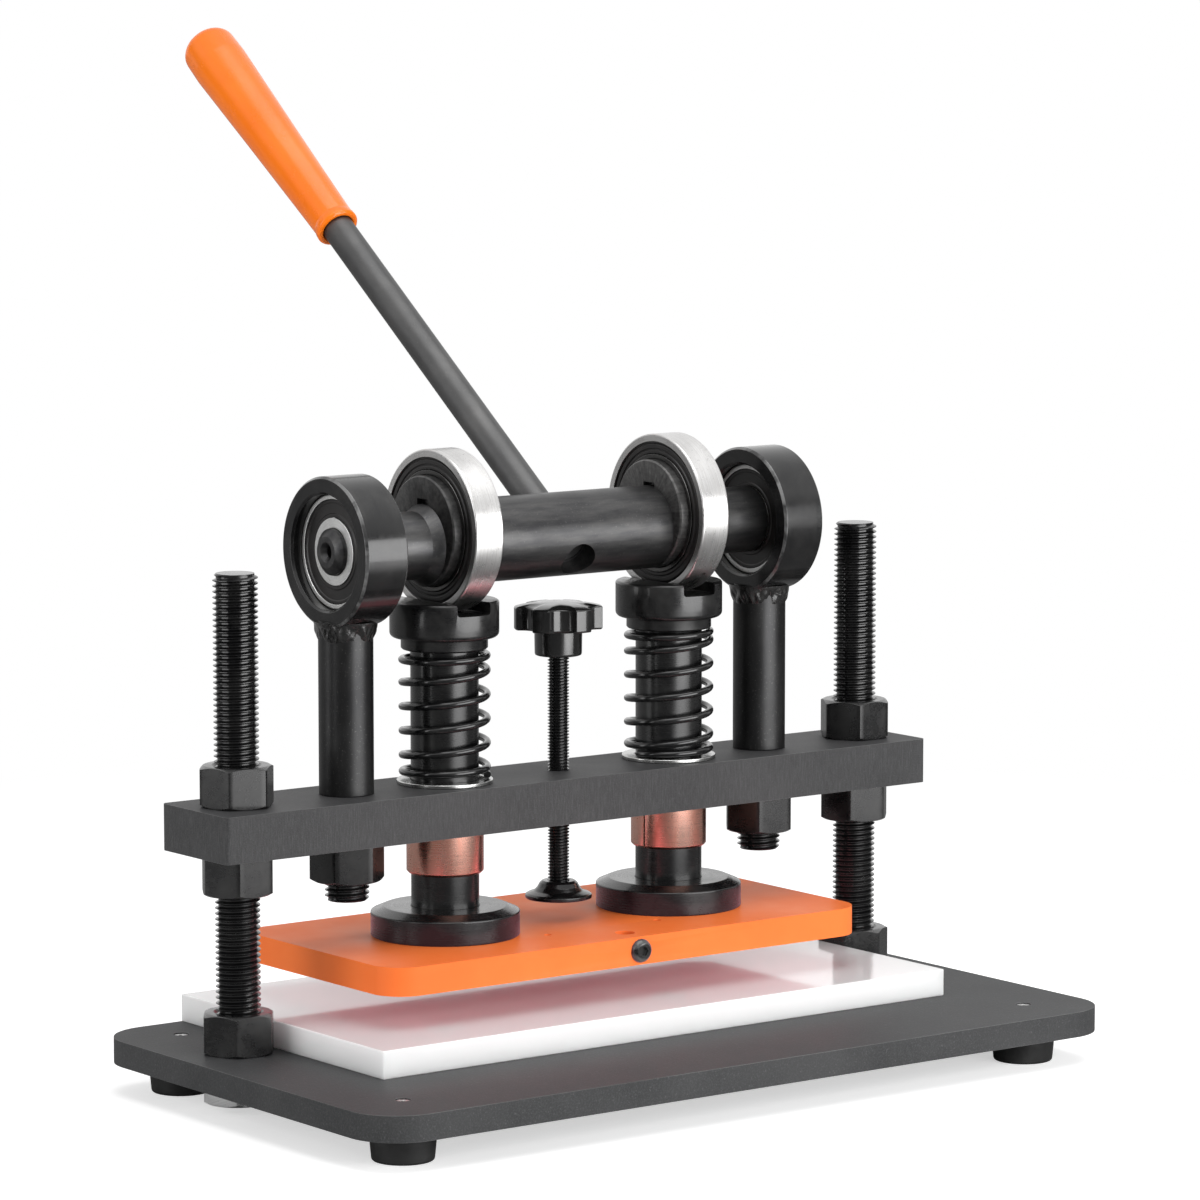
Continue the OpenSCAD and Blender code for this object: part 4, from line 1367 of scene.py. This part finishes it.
@dataclass
class Roller:
    """Ball-bearing roller on an eccentric: tyre, balls and seals."""
    side: Side
    radius: float = 44.0
    shoulder: float = 39.7
    inner: float = 33.0
    seal_depth: float = 1.75

    @property
    def place(self) -> Matrix:
        """Seat of the roller."""
        return seat(self.side.value * LIFT_X, ROLLER_Y, ROLLER_Z, Axis.X)

    def tyre(self) -> None:
        """The ring that runs on the cap."""
        w, r, s = ROLLER_WIDTH / 2, self.radius, self.shoulder
        shape = [(s, -w, 0.25), (r, -w, 1.0), (r, w, 1.0), (s, w, 0.25), (s + 0.3, w - 1.1, 0.2),
                 (s + 1.2, w - 1.9, 0.2), (s + 1.2, -w + 1.9, 0.2), (s + 0.3, -w + 1.1, 0.2)]
        tyre = turned(f"roller_tyre_{self.side.word}_ground", shape, self.place, True, 160, 4)
        steel = GroundSteel(f"tyre_steel_{self.side.word}", Axis.X, ROLLER_LINE, rough=(0.24, 0.36))
        dress(tyre, steel, "bright_steel", f"roller_{self.side.word}")

    def seals(self) -> None:
        """Both seals, with two ribs and a groove."""
        a, b = self.shoulder + 0.6, self.inner + 0.2
        shape = [(b, 0.0, 0.1), (b, 1.2, 0.25), (b + 1.5, 1.2, 0.3), (b + 1.9, 0.6, 0.2), (b + 2.5, 0.6, 0.2),
                 (b + 2.9, 1.2, 0.3), (a - 2.0, 1.2, 0.4), (a - 1.5, 0.4, 0.2), (a - 0.5, 0.4, 0.2),
                 (a, 0.9, 0.2), (a, 0.0, 0.1)]
        parts = sealed(shape, ROLLER_WIDTH / 2 - self.seal_depth, self.place, 128)
        piece = join_meshes(f"roller_seals_{self.side.word}_pressed", parts)
        dress(piece, SEAL_RUBBER, "rubber", f"roller_{self.side.word}")

    def build(self) -> None:
        """Builds the tyre and the seals and finishes the balls."""
        self.tyre()
        self.seals()
        dress_node(f"roller_balls_{self.side.word}", BALL_STEEL)


@dataclass
class PressHead:
    """Platen with its two sprung plungers."""
    plunger_radius: float = 18.5
    platen_top: float = 80.0
    seat_low: float = 236.3
    flange_radius: float = 40.6
    flange_top: float = 96.0
    spring_low: float = 165.3
    spring_radius: float = 23.0
    wire: float = 4.0
    wire_start_left: float = -37.0
    wire_start_right: float = 186.0
    travel: float = 11.2

    def platen(self) -> None:
        """Platen, its screws from below and the clamp screw in its front edge."""
        body, black = "press_head", "black_oxide"
        dress(refined("platen_painted", "platen", 0.7, 3), OrangePaint(), "orange_paint", body)
        dress(refined("platen_screws_cut", "platen_screws", 0.25, 1), NUT_BLACK, black, body)
        dress(refined("die_clamp_screw_cut", "die_clamp_screw", 0.25, least=35.0), NUT_BLACK, black, body)

    def plunger(self, side: Side) -> None:
        """One plunger with its foot flange and its cap.

        Args:
            side: the plunger's side.
        """
        word, body, slot = side.word, "press_head", "black_oxide"
        centre = (side.value * LIFT_X, ROD_Y, 0)
        place, r, low = seat(*centre), self.plunger_radius, self.platen_top
        black = OiledBlack(f"plunger_black_{word}", Axis.Z, centre, rough=(0.20, 0.32))
        shape = [(0, low), (r, low), (r, 120.0), (r, 180.0), (r, self.seat_low), (0, self.seat_low)]
        dress(turned(f"plunger_{word}_ground", shape, place, False), black, slot, body)
        f, top = self.flange_radius, self.flange_top
        shape = [(r - 0.05, low), (f, low, 0.6), (f, top - 3.0, 0.7), (f - 7.0, top, 1.5),
                 (r + 0.6, top, 0.4), (r - 0.05, top - 0.6)]
        dress(turned(f"flange_{word}_turned", shape, place, steps=128), black, slot, body)
        milled = OiledBlack(f"cap_black_{word}", Axis.Z, centre, worn=(0.030, 0.0297, 0.0292),
                            rough=(0.24, 0.36))
        dress(refined(f"plunger_cap_{word}_milled", f"plunger_cap_{word}", 0.7, 3), milled, slot, body)

    def spring(self, side: Side) -> None:
        """One return spring, built at one length; on the press it shortens as the plunger goes down.

        Args:
            side: the spring's side.
        """
        x, free = side.value * LIFT_X, self.seat_low - self.spring_low
        start = self.wire_start_left if side is Side.LEFT else self.wire_start_right
        spring = coil(f"spring_{side.word}_wound", seat(x, ROD_Y, self.spring_low), self.spring_radius,
                      self.wire, free, start)
        dress(spring, SPRING_BLACK, "black_oxide", "carriage")
        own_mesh(spring)

    def build(self) -> None:
        """Builds the platen, both plungers and both springs."""
        self.platen()
        for side in Side:
            self.plunger(side)
            self.spring(side)


@dataclass
class Adjuster:
    """Star knob on its screw, with the swivel foot under it."""
    knob_top: float = 256.0
    knob_radius: float = 24.3
    knob_height: float = 13.4
    hub_radius: float = 13.0
    hub_low: float = 226.6
    screw_radius: float = 6.0
    screw_pitch: float = 1.75
    screw_low: float = 96.3
    screw_high: float = 249.6
    screw_chamfer: float = 0.9
    foot_low: float = 91.8
    foot_radius: float = 18.4
    lobes: int = 6
    flute_middle: float = 27.5
    flute_radius: float = 8.6

    def knob(self) -> None:
        """The moulded star with rounded lobes and its hub."""
        top, base = self.knob_top, self.knob_top - self.knob_height - 1.6

        def star(size: float, height: float, share: float = 1.0) -> Ring:
            """A ring of the star.

            Args:
                size: how far it is drawn in.
                height: its height.
                share: depth of the flutes, as a part of the full depth.

            Returns:
                The ring.
            """

            def spot(a: float) -> tuple[float, float]:
                """Radius and height in direction a.

                Args:
                    a: direction in radians.

                Returns:
                    Radius and height.
                """
                step = math.tau / self.lobes
                off = ((a + step / 2) % step) - step / 2
                side, cut = self.flute_middle * math.sin(off), self.knob_radius
                if abs(side) < self.flute_radius:
                    flute = self.flute_middle * math.cos(off) - math.sqrt(self.flute_radius ** 2 - side ** 2)
                    cut = min(cut, flute) - max(1.4 - abs(cut - flute), 0.0) ** 2 / 5.6
                return self.knob_radius - share * (self.knob_radius - cut) - size, height
            return spot

        def round_ring(radius: float, height: float) -> Ring:
            """A plain ring of the hub or the crown."""
            return lambda a: (radius, height)

        hub, low = self.hub_radius, self.hub_low
        plain = ((self.screw_radius, low), (hub - 1.2, low), (hub - 0.35, low + 0.35), (hub, low + 1.2),
                 (hub, low + 1.6), (hub + 0.2, base - 1.2), (hub + 0.2, base - 0.8), (hub + 0.6, base - 0.1),
                 (hub + 1.2, base + 0.1))
        lobed = ((4.0, base + 0.1, 0.9), (1.3, base), (0.8, base + 0.05), (0.25, base + 0.35),
                 (0.0, base + 0.9), (0.0, base + 1.2), (0.0, top - 3.3), (0.0, top - 3.1), (0.2, top - 2.6),
                 (0.6, top - 2.3), (1.1, top - 2.05), (1.6, top - 1.9), (4.5, top - 1.2, 0.95),
                 (8.0, top - 0.6, 0.6))
        crown = ((12.0, top - 0.3), (6.0, top - 0.08), (1.0, top))
        rings = [round_ring(*ring) for ring in plain] + [star(*ring) for ring in lobed]
        rings += [round_ring(*ring) for ring in crown]
        bm = bmesh.new()
        stacked(bm, rings, self.lobes * 50, True)
        knob = finish_mesh(bm, "adjuster_knob_moulded", 38.0, seat(0, ROD_Y, 0))
        dress(knob, KNOB_PLASTIC, "black_knob", "star_knob")

    def screw(self) -> None:
        """The threaded spindle."""
        piece = threaded("adjuster_screw_threaded", self.screw_radius, self.screw_pitch, self.screw_low,
                         self.screw_high, seat(0, ROD_Y, 0), self.screw_chamfer, 30)
        dress(piece, THREAD_BLACK, "black_oxide", "star_knob")

    def foot(self) -> None:
        """The dished swivel foot."""
        low, r = self.foot_low, self.foot_radius
        shape = [(0, low + 0.5), (r - 3.5, low + 0.5, 0.3), (r - 3.0, low, 0.2), (r, low, 0.6),
                 (r, low + 2.1, 0.6), (r - 1.2, low + 2.9, 1.0), (13.5, low + 4.2, 2.0),
                 (11.6, low + 6.4, 2.0), (10.4, low + 8.6, 0.8), (9.0, low + 9.8, 0.6), (6.1, low + 9.8, 0.2),
                 (6.1, low + 5.0), (0, low + 5.0)]
        foot = turned("adjuster_foot_turned", shape, seat(0, ROD_Y, 0), False)
        dress(foot, OiledBlack("foot_black", rough=(0.16, 0.28)), "black_oxide", "swivel_foot")

    def build(self) -> None:
        """Builds the knob, screw and foot."""
        self.knob()
        self.screw()
        self.foot()


# ---------------------------------------------------------------- studio

@dataclass
class Studio:
    """Pale floor, soft lamps and the camera, in metres save the floor's bright spill."""
    target: Triple = (0.02858, -0.086, 0.25486)
    back: Triple = (-0.59537, -0.79442, 0.12014)
    distance: float = 3.00578
    lens: float = 163.68
    sensor: float = 36.0
    aim: Triple = (0.0, -0.09, 0.2)
    spill: Triple = (150.0, -1300.0, 0.0)
    floor_size: float = 9.0
    ambient: float = 0.36
    dim: float = 0.10

    def camera(self) -> None:
        """The camera."""
        data = bpy.data.cameras.new("view")
        data.lens, data.sensor_width = self.lens, self.sensor
        data.clip_start, data.clip_end = 0.05, 60.0
        camera = bpy.data.objects.new("view", data)
        bpy.context.scene.collection.objects.link(camera)
        back = Vector(self.back).normalized()
        camera.location = Vector(self.target) + back * self.distance
        camera.rotation_mode = "QUATERNION"
        camera.rotation_quaternion = (-back).to_track_quat("-Z", "Y")
        bpy.context.scene.camera = camera

    def floor(self) -> None:
        """The floor, white to the camera where nothing shades it."""
        bm = bmesh.new()
        bmesh.ops.create_grid(bm, x_segments=8, y_segments=8, size=self.floor_size)
        floor = finish_mesh(bm, "floor", 30.0)
        b = Bench("floor_paper", Roughness=0.9, Specular_IOR_Level=0.0, Emission_Color=(1, 1, 1, 1))
        rays = b.add("ShaderNodeLightPath").outputs
        seen, glossy = rays["Is Camera Ray"], rays["Is Glossy Ray"]
        far = b.span(b.polar(Axis.Z, ROD_PLANE)[0], 0.42, 1.1)
        near = b.blend(far, (0.82, 0.82, 0.82), (0.0, 0.0, 0.0))
        # painted reflection: glossy rays see the floor darker than bounce light does
        colour = b.blend(seen, b.blend(glossy, (0.80, 0.80, 0.80), (0.22, 0.22, 0.22)), near)
        b.link(colour, b.shader.inputs["Base Color"])
        # painted reflection: glossy rays see the floor glow, dimly behind the press and brightly in a patch
        # in front, like a lamp-lit floor
        behind = b.span(b.parts(b.place())[1], 0.15, 1.0, 0.0, 0.20)
        spill = b.span(b.polar(Axis.Z, self.spill)[0], 0.30, 0.70, 3.2, 0.0)
        mirrored = b.times(glossy, b.plus(behind, spill))
        shown = b.times(seen, b.span(far, 0.0, 1.0, 0.54, 1.0))
        b.link(b.plus(shown, mirrored), b.shader.inputs["Emission Strength"])
        floor.data.materials.append(b.material)

    def world(self) -> None:
        """Surroundings that are white to the camera and, behind the press, in reflections."""
        world = bpy.data.worlds.new("surroundings")
        bpy.context.scene.world = world
        world.use_nodes = True
        g = Graph(world.node_tree)
        shade = g.tree.nodes["Background"]
        g.put(shade, Color=(1, 1, 1, 1))
        rays = g.add("ShaderNodeLightPath").outputs
        x, y, z = g.parts(g.add("ShaderNodeTexCoord").outputs["Generated"])
        away = g.plus(g.times(x, 0.55), g.times(y, 0.83))
        shown = g.step("MAXIMUM", g.span(away, 0.20, 0.65, self.dim, 1.0, "SMOOTHSTEP"),
                      g.span(z, 0.15, 0.55, self.dim, 1.0, "SMOOTHSTEP"))
        mirrored = g.step("MAXIMUM", rays["Is Glossy Ray"], rays["Is Transmission Ray"])
        lit = g.plus(g.times(mirrored, shown), g.times(g.step("SUBTRACT", 1.0, mirrored), self.ambient))
        g.link(g.step("MAXIMUM", rays["Is Camera Ray"], lit), shade.inputs["Strength"])

    def lamp(self, name: str, spot: Triple, size: tuple[float, float], power: float) -> None:
        """A soft rectangular lamp aimed at the press.

        Args:
            name: the lamp's name.
            spot: its place in metres.
            size: width and height in metres.
            power: watts.
        """
        data = bpy.data.lights.new(name, "AREA")
        data.shape, data.size, data.size_y, data.energy = "RECTANGLE", size[0], size[1], power
        lamp = bpy.data.objects.new(name, data)
        lamp.location = spot
        lamp.visible_camera = False
        lamp.rotation_mode = "QUATERNION"
        lamp.rotation_quaternion = (Vector(self.aim) - Vector(spot)).to_track_quat("-Z", "Y")
        bpy.context.scene.collection.objects.link(lamp)

    def build(self) -> None:
        """Sets the whole studio."""
        self.camera()
        self.floor()
        self.world()
        self.lamp("front_right", (0.36, -1.32, 0.36), (1.2, 0.66), 15.3)
        self.lamp("left", (-1.38, 0.12, 0.42), (1.0, 0.80), 7.6)
        self.lamp("overhead", (0.0, -0.6, 2.3), (2.2, 1.9), 31.0)
        bpy.context.scene.view_settings.view_transform = "Standard"


def main() -> None:
    """Builds the press in order."""
    logging.basicConfig(level=logging.INFO, format="%(name)s: %(message)s")
    Studio().build()
    Stand().build()
    CuttingBoard().build()
    Crossbeam().build()
    seals: list[bpy.types.Object] = []
    for side in Side:
        bearing = EndBearing(side)
        bearing.build()
        seals += bearing.seals()
    dress(join_meshes("end_seals_pressed", seals), SEAL_RUBBER, "rubber", "carriage", "end_seals")
    dress_node("end_balls", BALL_STEEL)
    Crank().build()
    for side in Side:
        Roller(side).build()
    PressHead().build()
    Adjuster().build()


if __name__ == "__main__":
    main()
